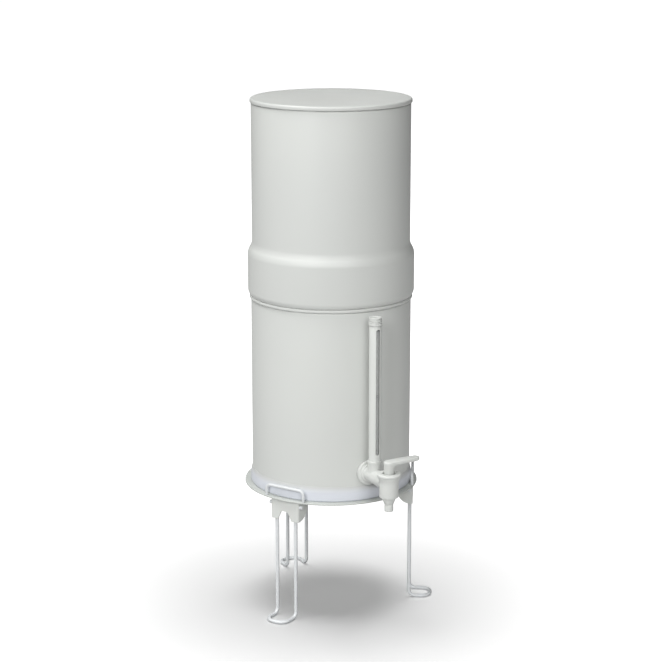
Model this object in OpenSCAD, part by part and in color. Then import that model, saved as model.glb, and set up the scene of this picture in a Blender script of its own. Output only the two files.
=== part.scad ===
// Gravity water filter on a folding wire stand.
// Two nested vessels with a lid, ceramic filters between them, and a tap
// with a level gauge on the lower one. Millimetres, +Z up, the origin on
// the vessels' axis at floor level, and the tap on the -Y side.

/* [Stand] */
// Height of the ring's top face above the floor
stand_h = 168; // [140:1:240]
// How far the ring that carries the vessels reaches past the base band
ring_margin = 8.4; // [7:0.1:16]
// Width of the ring, from its edge to its hole
ring_w = 21.4; // [18:0.1:28]
// Thickness of the ring
ring_t = 2; // [1.5:0.1:4]
// Radius of the rounding on the ring's outer edge
ring_edge_r = 0.8; // [0.3:0.1:0.9]

/* [Leg brackets] */
// Width of a bracket's front plate
bracket_w = 44.3; // [43:0.1:52]
// Height of a bracket
bracket_h = 28; // [24:0.5:36]
// Sheet thickness of the brackets
bracket_t = 1.8; // [1.2:0.1:2]
// Outer radius of the two bends in a bracket's sheet
bracket_bend_r = 3; // [2.2:0.1:4]
// Depth of a bracket's side flanges
bracket_depth = 21.4; // [16:0.2:22]
// Radius of the quarter round under each side flange
flange_round_r = 19; // [12:0.5:20]
// Width of the cut-out at the bottom of the front plate
notch_w = 22; // [16:0.5:26]
// Width of the cut-out at its top
notch_top_w = 10; // [6:0.5:14]
// Height of the cut-out
notch_h = 12; // [8:0.5:16]
// Radius of the two corners at the top of the cut-out
notch_corner_r = 1.8; // [0.8:0.1:2.4]
// Distance of the hinge line below the ring's underside
hinge_drop = 7.5; // [6:0.1:9]

/* [Folding legs] */
// Distance of the leg wires from the ring's edge
leg_inset = 9.4; // [8.6:0.1:11.4]
// Diameter of the leg wire
leg_wire_d = 5; // [4:0.1:5.4]
// How far the foot loop reaches outward from the wires
foot_reach = 29.3; // [24:0.1:40]
// Bend radius of the foot loop's outer corners
foot_bend_r = 12.5; // [8:0.1:13]
// Bend radius where a leg turns into its foot
ankle_bend_r = 8.5; // [6:0.1:10]
// Bend radius where a leg turns into its hinge pin
hip_bend_r = 5; // [4:0.1:6]
// Gap between that bend and the bracket's flange
hip_gap = 0.35; // [0.2:0.05:2]
// Length of a hinge pin that stands out of its flange
pin_stub = 4; // [2:0.1:6]

/* [Retaining hoops] */
// Diameter of the hoop wire
hoop_wire_d = 4; // [3:0.1:4.4]
// Gap between a hoop and the base band
hoop_gap = 0.4; // [0.3:0.1:1]
// Distance between a hoop's two posts
hoop_w = 59; // [44:0.5:60]
// Height of the hoop wire's centre above the ring
hoop_h = 15; // [12:0.5:24]
// Bend radius of a hoop's two corners
hoop_bend_r = 6; // [4:0.1:9]

/* [Base band] */
// Height of the band round the foot of the lower vessel
band_h = 20.5; // [16:0.1:20.6]
// Thickness of the band's wall
band_t = 2; // [1.5:0.1:2.2]
// Thickness of the band's lip under the vessel
band_floor_t = 1.5; // [1:0.1:3]
// Width of the band's lip, from the vessel's wall inward
band_lip_w = 10; // [8:0.1:11]
// Radius of the rounding on the band's top edge
band_edge_r = 1.4; // [0.6:0.1:1.4]

/* [Lower vessel] */
// Outer radius of the lower vessel
lower_r = 108; // [98:0.5:120]
// Height of the lower vessel from its base to its rim
lower_h = 259.6; // [255:0.2:330]
// Wall thickness of the vessels and the lid
wall = 1.2; // [1:0.1:1.5]
// Radius of the corner at the foot of the lower vessel
foot_corner_r = 5; // [3:0.5:8]
// Distance of the raised middle of the base from the wall
punt_inset = 17; // [16.5:0.5:28]
// Height that the middle of the base is raised
punt_h = 7.5; // [6:0.1:12]
// Width of the slope between the foot and the raised middle
punt_slope_w = 5; // [3:0.5:6]
// Height of the rolled bead on the rim
bead_h = 6.3; // [5:0.1:7]
// How far the bead stands out of the wall
bead_out = 2.1; // [1.4:0.1:2.6]
// Radius of the rounding on the inside of the rim
rim_edge_r = 0.5; // [0.3:0.1:0.6]

/* [Upper vessel] */
// How far the upper vessel's straight wall stands inside the lower one's
upper_step = 1.6; // [1.2:0.1:2.5]
// Height of the upper vessel from its seat to its rim
upper_h = 263.4; // [262:0.2:320]
// How far the wide belt above the seat stands outside the lower vessel's wall
belt_out = 4.2; // [3.8:0.1:6]
// Height of the belt from the seat to the start of the flare
belt_h = 54.8; // [40:0.2:80]
// Height of the flare that draws the belt in to the wall
flare_h = 18.6; // [14:0.2:30]
// Radius of the belt's lower corner
belt_corner_r = 5.4; // [3:0.1:6]
// Width of the flat lip that the rim is turned in to
rim_lip_w = 1.2; // [0.6:0.1:3]
// Depth of the neck that nests in the lower vessel
nest_depth = 18; // [12:0.5:24]
// Gap between the neck and the lower vessel's wall
nest_gap = 1; // [0.6:0.1:1.6]
// Radius of the corner between the neck and the floor
neck_corner_r = 4; // [2.5:0.1:6]
// Gap between the seat and the rim under it
seat_gap = 0.3; // [0.2:0.05:0.6]

/* [Lid] */
// Height of the lid's skirt, its top included
lid_h = 6.2; // [5.6:0.1:14]
// Gap between the lid's skirt and the vessel's wall
lid_gap = 0.4; // [0.3:0.05:0.8]
// Radius of the rounding round the lid's top
lid_corner_r = 4; // [2:0.1:4.4]

/* [Ceramic filters] */
// Gap between a filter's base and the neck's wall
filter_gap = 19.1; // [12:0.1:27]
// Radius of a ceramic candle
candle_r = 25; // [20:0.5:30]
// Height of a ceramic candle, its dome included
candle_h = 152; // [120:1:190]
// Wall thickness of a ceramic candle
candle_wall = 8; // [5:0.5:10]
// Wall of a candle's plastic base round the candle
candle_base_wall = 2.5; // [1.5:0.1:5]
// Height of a candle's plastic base
candle_base_h = 14; // [10:0.5:20]
// Depth of the seat that the candle stands in
candle_seat_depth = 5; // [3:0.5:7]
// Radius of the threaded stem
stem_r = 5; // [4:0.1:6]
// Length of the stem below the vessel's floor
stem_below = 26; // [22:0.5:34]
// Radius of the stem's bore
stem_bore_r = 2.2; // [1.5:0.1:2.6]
// Radius of the sealing washers
washer_r = 13; // [10:0.5:16]
// Thickness of a sealing washer
washer_t = 2.4; // [1.5:0.1:3.5]
// Radius of a wing nut's hub
wing_hub_r = 9; // [8:0.1:11]
// Height of a wing nut's hub
wing_hub_h = 9; // [7:0.5:12]
// Radius of each wing
wing_r = 7; // [6:0.1:9]
// Thickness of each wing
wing_t = 2.6; // [2:0.1:4]
// Distance of a wing's centre from the stem
wing_offset = 12; // [11:0.1:15]

/* [Tap] */
// Height of the tap's flange above the base band
flange_rise = 1; // [0.5:0.1:10]
// Distance of the valve's axis from the gauge's axis
valve_out = 39.6; // [38:0.1:48]
// Outer radius of the horizontal pipe
pipe_r = 10.2; // [9.8:0.1:10.8]
// Radius of the water way
bore_r = 4.5; // [3.5:0.1:5]
// Radius of the threaded shank through the wall
shank_r = 9.5; // [8.5:0.1:10]
// Length of the shank inside the lower vessel
shank_len = 17; // [15:0.5:24]
// Radius of the outer flange
tap_flange_r = 17; // [15:0.1:17.2]
// Thickness of the outer flange
tap_flange_t = 3.4; // [2.5:0.1:4]
// Radius of the second step of the flange
tap_step_r = 13; // [12:0.1:14.5]
// Thickness of the second step
tap_step_t = 2.4; // [1.5:0.1:3.5]
// Thickness of the washers at the wall's nearest point
gasket_t = 2.3; // [2:0.1:3]
// How far the washer outside the wall stands inside the flange's edge
gasket_inset = 1.2; // [0.5:0.1:3]
// Radius of the washer inside the wall
inner_gasket_r = 15; // [13:0.1:16]
// Width across the flats of the shank's nut
shank_nut_af = 27; // [24:0.5:32]
// Thickness of the shank's nut
shank_nut_t = 6; // [4:0.1:7]
// Distance from the valve's axis to the joint with the tee
tap_joint = 20.4; // [18:0.1:24]
// Length of the spigot that screws into the tee
spigot_len = 8; // [5:0.1:9]
// Radius of the spigot
spigot_r = 7.4; // [6.4:0.1:8]
// Outer radius of the valve's barrel
barrel_r = 12.6; // [12:0.1:13.5]
// How far the barrel reaches down past the pipe
barrel_drop = 7; // [5:0.1:12]
// Radius at the top of the cone under the barrel
cone_r = 9.7; // [9:0.1:11]
// Height of the cone
cone_h = 11.3; // [6:0.1:14]
// Outer radius of the spout
spout_r = 5.9; // [5.6:0.1:6.6]
// Length of the spout below the cone
spout_len = 8.2; // [5:0.1:14]
// Radius of the spout's bore
spout_bore_r = 4; // [3:0.1:4.2]

/* [Bonnet, plug and lever] */
// Height of the bonnet's lower face above the pipe
bonnet_rise = 0.5; // [0.3:0.1:3]
// Height of the bonnet
bonnet_h = 4.2; // [3.8:0.1:6]
// Outer radius of the bonnet's lip
bonnet_r = 16; // [14.5:0.1:17]
// Radius of the rounding on the lip's edges
bonnet_edge_r = 0.8; // [0.4:0.1:1.2]
// Radius of the recess in the bonnet's top
recess_r = 8.4; // [7.4:0.1:9.5]
// Depth of the recess
recess_depth = 2; // [1:0.1:2.1]
// Height of the flare that widens the barrel up to the bonnet
barrel_flare_h = 6.5; // [4:0.1:8]
// Outer radius of the barrel where it meets the bonnet
barrel_top_r = 14.6; // [13.8:0.1:14.8]
// Radius of the barrel's neck under the bonnet
neck_r = 10; // [9.4:0.1:10.6]
// Height of the barrel's neck
neck_h = 1.2; // [0.8:0.1:1.3]
// Radius of the valve's plug
plug_r = 7.45; // [7:0.05:7.8]
// Running clearance round the plug and the lever's hub
plug_play = 0.06; // [0.03:0.01:0.09]
// Radius of the port through the plug's side
port_r = 3.3; // [2.5:0.1:3.4]
// Thickness of the barrel's floor under the plug
barrel_floor_t = 2.8; // [2:0.1:4]
// Width of the square that drives the plug
drive_w = 6; // [4.5:0.1:6.5]
// Height of the square that drives the plug
drive_h = 8; // [5:0.5:10]
// Section radius of the plug's seal rings
plug_seal_r = 0.95; // [0.7:0.05:1.1]
// Radius of the lever's hub
hub_r = 6; // [5.6:0.1:6.4]
// Length of the lever from the valve's axis to its tip
lever_len = 44.3; // [34:0.1:60]
// Width of the lever
lever_w = 12.6; // [10:0.1:15]
// Radius of the lever's round root
lever_root_r = 7.6; // [7:0.1:9]
// Thickness of the lever
lever_t = 5.4; // [3:0.1:6.4]
// Height of the lever's underside above the bonnet
lever_gap = 11.1; // [8:0.1:16]
// Rise of the lever from its root to its tip
lever_rise = 1.5; // [0:0.1:3]
// Radius of the fillet between the hub and the lever
lever_fillet_r = 5; // [3:0.1:7]

/* [Level gauge] */
// Distance of the gauge's axis from the lower vessel's wall
gauge_out = 19.8; // [19:0.1:24]
// Wall of the socket round the guard tube
socket_wall = 1; // [0.8:0.05:1.5]
// Height of the socket's top above the tap's inlet
socket_h = 21.5; // [19:0.1:28]
// How far the collar stands out of the socket
collar_out = 0.5; // [0.2:0.05:0.8]
// Height of the collar on the socket
socket_collar_h = 3; // [2:0.1:5]
// Outer radius of the slotted guard tube
guard_r = 8.2; // [8:0.05:8.4]
// Wall thickness of the guard tube
guard_t = 1.2; // [0.9:0.05:1.3]
// Depth that the guard tube stands in its socket
guard_seat = 11; // [6:0.5:11]
// Height of the guard tube above its socket
guard_h = 187; // [140:1:190]
// Width of the slot in the guard tube
slot_w = 5.7; // [4:0.1:7]
// Distance of the slot's lower end from the socket
slot_start = 8.3; // [6:0.1:30]
// Distance of the slot's upper end from the top of the guard tube
slot_end = 8.7; // [8:0.1:30]
// Gap between the clear sight tube and the guard tube
sight_gap = 0.8; // [0.6:0.05:1.4]
// Wall thickness of the sight tube
sight_t = 1; // [0.8:0.05:1.4]
// Section radius of the seal rings at the sight tube's ends
gauge_seal_r = 0.9; // [0.6:0.05:1]
// Wall of the cap's ring round the guard tube
cap_wall = 0.7; // [0.5:0.05:1.2]
// Height of the gauge's cap
cap_h = 10.5; // [9.5:0.1:11]
// Height of the wide ring at the foot of the cap
cap_ring_h = 4.8; // [4.4:0.1:5.6]
// How far the cap's head stands outside the guard tube
cap_head_out = 0.2; // [0:0.05:0.4]
// Depth of the groove between the ring and the head
cap_groove = 0.3; // [0.1:0.05:0.4]
// Width of the groove
cap_groove_w = 0.9; // [0.5:0.1:1.4]
// Radius of the rounding round the cap's top
cap_round_r = 2.2; // [1:0.1:3.2]
// Radius of the indicator rod of the float
rod_r = 1.5; // [1:0.1:2]
// Height of the float from its foot to the rod's tip
float_h = 101.4; // [80:0.2:114]
// Gap between the float's bulb and the sight tube
bulb_gap = 1.4; // [1:0.1:2]
// Height of the float's bulb
bulb_h = 18; // [10:0.5:24]
// Radius of the passage up to the gauge
gauge_bore_r = 2.5; // [1.5:0.1:2.8]

/* [Hidden] */
$fn = 180;

// How far a cut runs past the face that it opens
cut = 1;
// Share of a right angle at which a cross product takes another helper
near_share = 0.9;
// Steps in a rounded corner of an outline
round_steps = 6;
// Steps in each half of the flare
flare_steps = 8;
// Running clearance of a hinge pin in its flange
pin_play = 0.06;
// Gap between a leg at rest and the front plate that stops it
stop_gap = 0.2;
// Gap between pieces that are screwed or pushed together
fit_gap = 0.05;
// Gap above and below the valve's plug
end_gap = 0.2;
// Gap between the float at its lowest and the ledge under it
float_gap = 0.3;
// Gap round a filter's stem in the vessel's floor
stem_gap = 0.2;
// How far the gauge's cap reaches down the guard tube
cap_overlap = 4;
// Gap round a plug's seal ring in its groove
seal_play = 0.01;

// Directions of the legs round the axis, measured from the tap
left_angle = -60;
right_angle = 60;
rear_angle = 180;

wire_r = leg_wire_d / 2;
hoop_wire_r = hoop_wire_d / 2;
band_r = lower_r + band_t;
ring_r = band_r + ring_margin;
ring_hole_r = ring_r - ring_w;
leg_r = ring_r - leg_inset;
leg_x = bracket_w / 2 - bracket_t - hip_gap - hip_bend_r;
hoop_y = band_r + hoop_gap + hoop_wire_r;
ring_low = stand_h - ring_t;
hinge_z = ring_low - hinge_drop;
plate_in = leg_r + wire_r + stop_gap;
plate_out = plate_in + bracket_t;
base_z = stand_h + band_floor_t;
rim_z = base_z + lower_h;
lower_in = lower_r - wall;
seat_z = rim_z + seat_gap;
vessel_neck_r = lower_in - nest_gap;
candle_base_r = candle_r + candle_base_wall;
filter_pitch_r = vessel_neck_r - wall - filter_gap - candle_base_r;
upper_r = lower_r - upper_step;
belt_r = lower_r + belt_out;
upper_in = upper_r - wall;
upper_rim_z = seat_z + upper_h;
floor_low = seat_z - nest_depth;
floor_top = floor_low + wall;
lid_top_z = upper_rim_z + wall;
lid_r = upper_r + lid_gap + wall;
// The rim is turned in so that the lid's rounded corner clears it
rim_turn_r = lid_corner_r - wall + lid_gap / 2;
inlet_h = band_h + flange_rise + tap_flange_r;
inlet_z = stand_h + inlet_h;
gauge_y = lower_r + gauge_out;
valve_y = gauge_y + valve_out;
flange_back = lower_r + gasket_t;
flange_front = flange_back + tap_flange_t;
step_front = flange_front + tap_step_t;
joint_y = valve_y - tap_joint;
barrel_low = inlet_h - pipe_r - barrel_drop;
cone_low = barrel_low - cone_h;
spout_low = cone_low - spout_len;
bonnet_low = inlet_h + pipe_r + bonnet_rise;
plug_low = barrel_low + barrel_floor_t + end_gap;
lever_top = bonnet_low + bonnet_h + lever_gap + lever_t;
socket_z = inlet_z + socket_h;
socket_r = guard_r + socket_wall;
guard_low = socket_z - guard_seat;
guard_in = guard_r - guard_t;
gauge_top_z = socket_z + guard_h;
sight_r = guard_in - sight_gap;
sight_seat_r = (guard_in + sight_r) / 2;
seal_h = 2 * gauge_seal_r;
sight_low = guard_low - gauge_seal_r;
sight_top = gauge_top_z - gauge_seal_r;
ledge_z = sight_low - seal_h;
hub_low = stand_h + bonnet_low + neck_h + fit_gap;
plug_top = hub_low - end_gap;

function unit(v) = v / norm(v);
function side_of(v) = unit(cross(v, abs(v[2]) < near_share ? [0, 0, 1] : [1, 0, 0]));
function arc(centre, r, from, to, steps = round_steps) = [
    for (i = [0:steps])
        let (a = from + (to - from) * i / steps)
            centre + r * [cos(a), sin(a)]
];
function turn(pts, i) = acos(unit(pts[i] - pts[i - 1]) * unit(pts[i + 1] - pts[i]));
function trim(pts, radii, i) =
    i == 0 || i == len(pts) - 1 ? 0 : radii[i] * tan(turn(pts, i) / 2);

// Places its children in a frame with the given origin and axes
module in_frame(o, x, y) {
    z = cross(x, y);
    multmatrix([
        [x[0], y[0], z[0], o[0]],
        [x[1], y[1], z[1], o[1]],
        [x[2], y[2], z[2], o[2]],
        [0, 0, 0, 1],
    ]) children();
}

// A round wire that follows the points and turns each corner in an arc
module bent_wire(pts, radii, r) {
    for (i = [0:len(pts) - 2]) {
        d = unit(pts[i + 1] - pts[i]);
        a = pts[i] + d * trim(pts, radii, i);
        b = pts[i + 1] - d * trim(pts, radii, i + 1);
        s = side_of(d);
        in_frame(a, s, cross(d, s)) cylinder(r = r, h = norm(b - a));
    }
    for (i = [1:len(pts) - 2]) {
        d = unit(pts[i] - pts[i - 1]);
        e = unit(pts[i + 1] - pts[i]);
        n = unit(e - d * (e * d));
        start = pts[i] - d * trim(pts, radii, i);
        in_frame(start + n * radii[i], -n, d)
            rotate_extrude(angle = turn(pts, i)) translate([radii[i], 0]) circle(r = r);
    }
}

// Turns its children from the tap's side to the given direction
module toward(direction) {
    rotate([0, 0, direction]) children();
}

// Lays the z axis of its children outward through the tap's inlet
module along_tap() {
    translate([0, 0, inlet_z]) rotate([90, 0, 0]) children();
}

// Puts its children on the valve's axis, with z measured from the ring
module at_valve() {
    translate([0, -valve_y, stand_h]) children();
}

// Puts its children on the gauge's axis
module at_gauge() {
    translate([0, -gauge_y, 0]) children();
}

// Repeats its children at the filters' places
module at_filter(index) {
    rotate([0, 0, 90 + index * 120]) translate([filter_pitch_r, 0, 0]) children();
}

// A round ring of round section
module seal_ring(r, section_r) {
    rotate_extrude() translate([r, 0]) circle(r = section_r, $fn = 32);
}

// The stand

module stand_ring() {
    color("gainsboro") rotate_extrude() polygon(concat(
        [[ring_hole_r, ring_low], [ring_r - ring_edge_r, ring_low]],
        arc([ring_r - ring_edge_r, ring_low + ring_edge_r], ring_edge_r, -90, 0),
        arc([ring_r - ring_edge_r, stand_h - ring_edge_r], ring_edge_r, 0, 90),
        [[ring_hole_r, stand_h]]
    ));
}

// The cut-out narrows upward and has two rounded corners
module notch_outline() {
    lean = atan((notch_w - notch_top_w) / 2 / notch_h);
    inset = notch_corner_r * tan((90 - lean) / 2);
    c = [notch_top_w / 2 - inset, notch_h - notch_corner_r];
    right = arc(c, notch_corner_r, lean, 90);
    left = [for (i = [len(right) - 1:-1:0]) [-right[i][0], right[i][1]]];
    slope = (notch_w - notch_top_w) / 2 / notch_h;
    foot = notch_w / 2 + slope * cut;
    polygon(concat([[-foot, -cut], [foot, -cut]], right, left));
}

// Outline of a bracket from its side, with x measured inward from the front face
module flange_outline() {
    straight = bracket_h - flange_round_r;
    translate([-cut, -straight]) square([bracket_depth + cut, straight]);
    intersection() {
        translate([-cut, -bracket_h]) square([bracket_depth + cut, bracket_h]);
        union() {
            translate([bracket_depth - flange_round_r, -straight])
                circle(r = flange_round_r);
            translate([-cut, -bracket_h])
                square([bracket_depth - flange_round_r + cut, bracket_h]);
        }
    }
}

// A block with two rounded corners on its front, as seen from above
module round_fronted(w, depth, r) {
    translate([-w / 2, r]) square([w, depth - r]);
    translate([r - w / 2, 0]) square([w - 2 * r, depth]);
    for (side = [-1, 1]) translate([side * (w / 2 - r), r]) circle(r = r);
}

// The bent sheet as seen from above: a front plate and two side flanges
module bracket_plan() {
    difference() {
        round_fronted(bracket_w, bracket_depth + cut, bracket_bend_r);
        translate([0, bracket_t])
            round_fronted(bracket_w - 2 * bracket_t, bracket_depth + cut, bracket_bend_r - bracket_t);
    }
}

module leg_bracket(direction) {
    pin_hole_r = wire_r + pin_play;
    color("gainsboro") toward(direction) difference() {
        intersection() {
            translate([0, -plate_out, ring_low - bracket_h - cut])
                linear_extrude(bracket_h + 2 * cut) bracket_plan();
            translate([-bracket_w / 2 - cut, -plate_out, ring_low]) rotate([90, 0, 90])
                linear_extrude(bracket_w + 2 * cut) flange_outline();
        }
        translate([0, -plate_in + cut, ring_low - bracket_h]) rotate([90, 0, 0])
            linear_extrude(bracket_t + 2 * cut) notch_outline();
        translate([-bracket_w / 2 - cut, -leg_r, hinge_z]) rotate([0, 90, 0])
            cylinder(r = pin_hole_r, h = bracket_w + 2 * cut);
    }
}

// A low hoop of bent wire that stands on the ring and keeps the vessel on it
module retaining_hoop(direction) {
    x = hoop_w / 2;
    top = stand_h + hoop_h;
    path = [
        [-x, -hoop_y, stand_h], [-x, -hoop_y, top],
        [x, -hoop_y, top], [x, -hoop_y, stand_h],
    ];
    color("whitesmoke") toward(direction)
        bent_wire(path, [0, hoop_bend_r, hoop_bend_r, 0], hoop_wire_r);
}

// One wire: pin, leg, foot loop, leg and pin
module folding_leg(direction) {
    pin_x = bracket_w / 2 + pin_stub;
    foot_y = leg_r + foot_reach;
    half = [
        [pin_x, -leg_r, hinge_z], [leg_x, -leg_r, hinge_z],
        [leg_x, -leg_r, wire_r], [leg_x, -foot_y, wire_r],
    ];
    other = [for (i = [3:-1:0]) [-half[i][0], half[i][1], half[i][2]]];
    radii = [
        0, hip_bend_r, ankle_bend_r, foot_bend_r,
        foot_bend_r, ankle_bend_r, hip_bend_r, 0,
    ];
    color("whitesmoke") toward(direction) bent_wire(concat(half, other), radii, wire_r);
}

// The lower vessel and its band

module lower_vessel() {
    bead_r = (pow(bead_h / 2, 2) + pow(bead_out, 2)) / (2 * bead_out);
    bead_half = asin(bead_h / 2 / bead_r);
    bead_mid = rim_z - bead_h / 2;
    corner_in_r = foot_corner_r - wall;
    punt_r = lower_r - punt_inset;
    foot_in = punt_r + punt_slope_w;
    color("gainsboro") difference() {
        rotate_extrude() polygon(concat(
            [[0, base_z + punt_h], [punt_r, base_z + punt_h], [foot_in, base_z]],
            arc([lower_r - foot_corner_r, base_z + foot_corner_r], foot_corner_r, -90, 0),
            arc([lower_r + bead_out - bead_r, bead_mid], bead_r, -bead_half, bead_half),
            arc([lower_in + rim_edge_r, rim_z - rim_edge_r], rim_edge_r, 90, 180),
            arc([lower_r - foot_corner_r, base_z + foot_corner_r], corner_in_r, 0, -90),
            [
                [foot_in + wall / 2, base_z + wall],
                [punt_r + wall / 2, base_z + punt_h + wall],
                [0, base_z + punt_h + wall],
            ]
        ));
        along_tap() cylinder(r = shank_r + fit_gap, h = lower_r + cut);
    }
}

module base_band() {
    band_lip_r = lower_r - band_lip_w;
    top = stand_h + band_h;
    corner_r = foot_corner_r;
    color("white") rotate_extrude() polygon(concat(
        [[band_lip_r, stand_h], [band_r, stand_h]],
        arc([band_r - band_edge_r, top - band_edge_r], band_edge_r, 0, 90),
        [[lower_r, top]],
        arc([lower_r - corner_r, base_z + corner_r], corner_r, 0, -90),
        [[band_lip_r, base_z]]
    ));
}

// The tap's tee: shank, flange, pipe and the gauge's socket in one casting

module tee_outline() {
    edge = tap_flange_t / 3;
    small = tap_step_t / 3;
    spigot_end = joint_y - spigot_len;
    polygon(concat(
        [
            [bore_r, lower_in - shank_len], [shank_r, lower_in - shank_len],
            [shank_r, flange_back], [tap_flange_r - edge, flange_back],
        ],
        arc([tap_flange_r - edge, flange_back + edge], edge, -90, 0),
        arc([tap_flange_r - edge, flange_front - edge], edge, 0, 90),
        [[tap_step_r, flange_front]],
        arc([tap_step_r - small, step_front - small], small, 0, 90),
        [
            [pipe_r, step_front], [pipe_r, joint_y],
            [spigot_r + fit_gap, joint_y], [spigot_r + fit_gap, spigot_end],
            [bore_r, spigot_end],
        ]
    ));
}

module tap_tee() {
    collar_z = socket_z - socket_collar_h;
    color("gainsboro") difference() {
        union() {
            along_tap() rotate_extrude() tee_outline();
            at_gauge() {
                translate([0, 0, inlet_z]) cylinder(r = socket_r, h = socket_z - inlet_z);
                translate([0, 0, collar_z])
                    cylinder(r = socket_r + collar_out, h = socket_collar_h);
            }
        }
        along_tap() translate([0, 0, flange_back])
            cylinder(r = bore_r, h = joint_y - spigot_len - flange_back);
        at_gauge() {
            translate([0, 0, guard_low]) cylinder(r = guard_r + fit_gap, h = socket_z);
            translate([0, 0, ledge_z]) cylinder(r = sight_seat_r, h = guard_low);
            translate([0, 0, inlet_z]) cylinder(r = gauge_bore_r, h = socket_z - inlet_z);
        }
    }
}

// Washers that seal the shank against the curved wall

module outer_gasket() {
    gasket_r = tap_flange_r - gasket_inset;
    color("dimgray") difference() {
        along_tap() translate([0, 0, lower_r - gasket_r])
            cylinder(r = gasket_r, h = gasket_t + gasket_r);
        cylinder(r = lower_r, h = upper_rim_z);
        along_tap() cylinder(r = shank_r + fit_gap, h = flange_back + cut);
    }
}

module inner_gasket() {
    depth = lower_in - gasket_t;
    color("dimgray") difference() {
        intersection() {
            along_tap() translate([0, 0, depth]) cylinder(r = inner_gasket_r, h = lower_in);
            cylinder(r = lower_in, h = upper_rim_z);
        }
        along_tap() cylinder(r = shank_r + fit_gap, h = flange_back + cut);
    }
}

module shank_nut() {
    depth = lower_in - gasket_t;
    color("silver") along_tap() translate([0, 0, depth - shank_nut_t]) difference() {
        rotate([0, 0, 30])
            cylinder(r = shank_nut_af / 2 / cos(30), h = shank_nut_t, $fn = 6);
        translate([0, 0, -cut]) cylinder(r = shank_r + fit_gap, h = shank_nut_t + 2 * cut);
    }
}

// The level gauge

module gauge_guard() {
    low = socket_z + slot_start + slot_w / 2;
    high = gauge_top_z - slot_end - slot_w / 2;
    color("gainsboro") at_gauge() difference() {
        translate([0, 0, guard_low]) difference() {
            cylinder(r = guard_r, h = gauge_top_z - guard_low);
            translate([0, 0, -cut])
                cylinder(r = guard_in, h = gauge_top_z - guard_low + 2 * cut);
        }
        rotate([90, 0, 0]) {
            translate([-slot_w / 2, low]) linear_extrude(guard_r + cut)
                square([slot_w, high - low]);
            for (z = [low, high])
                translate([0, z, 0]) cylinder(r = slot_w / 2, h = guard_r + cut);
        }
    }
}

module sight_tube() {
    color("lightblue") at_gauge() translate([0, 0, sight_low]) difference() {
        cylinder(r = sight_r, h = sight_top - sight_low);
        translate([0, 0, -cut]) cylinder(r = sight_r - sight_t, h = sight_top - sight_low + 2 * cut);
    }
}

module gauge_cap() {
    low = gauge_top_z - cap_overlap;
    top = low + cap_h;
    edge = cap_wall / 2;
    cap_r = guard_r + cap_wall;
    head_r = guard_r + cap_head_out;
    groove_r = head_r - cap_groove;
    ring_top = low + cap_ring_h;
    groove_top = ring_top + cap_groove_w;
    recess_top = sight_top + seal_h;
    color("gainsboro") at_gauge() rotate_extrude() polygon(concat(
        [[guard_r + fit_gap, low]],
        arc([cap_r - edge, low + edge], edge, -90, 0),
        arc([cap_r - edge, ring_top - edge], edge, 0, 90),
        [[groove_r, ring_top], [groove_r, groove_top], [head_r, groove_top]],
        arc([head_r - cap_round_r, top - cap_round_r], cap_round_r, 0, 90),
        [
            [0, top], [0, recess_top], [sight_seat_r, recess_top],
            [sight_seat_r, gauge_top_z], [guard_r + fit_gap, gauge_top_z],
        ]
    ));
}

module gauge_seal(z) {
    color("dimgray") at_gauge() translate([0, 0, z])
        seal_ring(sight_r - gauge_seal_r, gauge_seal_r);
}

module lower_gauge_seal() {
    gauge_seal(sight_low - gauge_seal_r);
}

module upper_gauge_seal() {
    gauge_seal(sight_top + gauge_seal_r);
}

// A bulb with a slender rod whose tip marks the level
module level_float() {
    bulb_r = sight_r - sight_t - bulb_gap;
    round_r = bulb_r / 2;
    low = ledge_z + float_gap;
    color("dimgray") at_gauge() translate([0, 0, low]) rotate_extrude() polygon(concat(
        [[0, 0]],
        arc([bulb_r - round_r, round_r], round_r, -90, 0),
        arc([bulb_r - round_r, bulb_h - round_r], round_r, 0, 90),
        [[rod_r, bulb_h], [rod_r, float_h], [0, float_h]]
    ));
}

// The valve

module barrel_outline() {
    edge = (spout_r - spout_bore_r) / 2;
    shoulder = (barrel_r - cone_r) / 3;
    chamber_r = plug_r + plug_play;
    out = barrel_top_r - barrel_r;
    sweep_r = (pow(barrel_flare_h, 2) + pow(out, 2)) / (2 * out);
    sweep = asin(barrel_flare_h / sweep_r);
    polygon(concat(
        [[spout_bore_r, spout_low], [spout_r - edge, spout_low]],
        arc([spout_r - edge, spout_low + edge], edge, -90, 0),
        [
            [spout_r, cone_low], [cone_r, barrel_low - shoulder],
            [cone_r, barrel_low], [barrel_r - shoulder, barrel_low],
        ],
        arc([barrel_r - shoulder, barrel_low + shoulder], shoulder, -90, 0),
        arc([barrel_r + sweep_r, bonnet_low - barrel_flare_h], sweep_r, 180, 180 - sweep),
        [
            [neck_r, bonnet_low], [neck_r, bonnet_low + neck_h], [chamber_r, bonnet_low + neck_h],
            [chamber_r, plug_low - end_gap], [spout_bore_r, plug_low - end_gap],
        ]
    ));
}

module valve_barrel() {
    chamber_r = plug_r + plug_play;
    color("gainsboro") difference() {
        union() {
            difference() {
                union() {
                    at_valve() rotate_extrude() barrel_outline();
                    along_tap() translate([0, 0, joint_y])
                        cylinder(r = pipe_r, h = tap_joint - chamber_r);
                }
                at_valve() translate([0, 0, plug_low])
                    cylinder(r = chamber_r, h = bonnet_low + neck_h);
            }
            along_tap() translate([0, 0, joint_y - spigot_len])
                cylinder(r = spigot_r, h = spigot_len);
        }
        along_tap() translate([0, 0, joint_y - spigot_len - cut])
            cylinder(r = port_r, h = valve_y - joint_y + spigot_len);
    }
}

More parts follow.
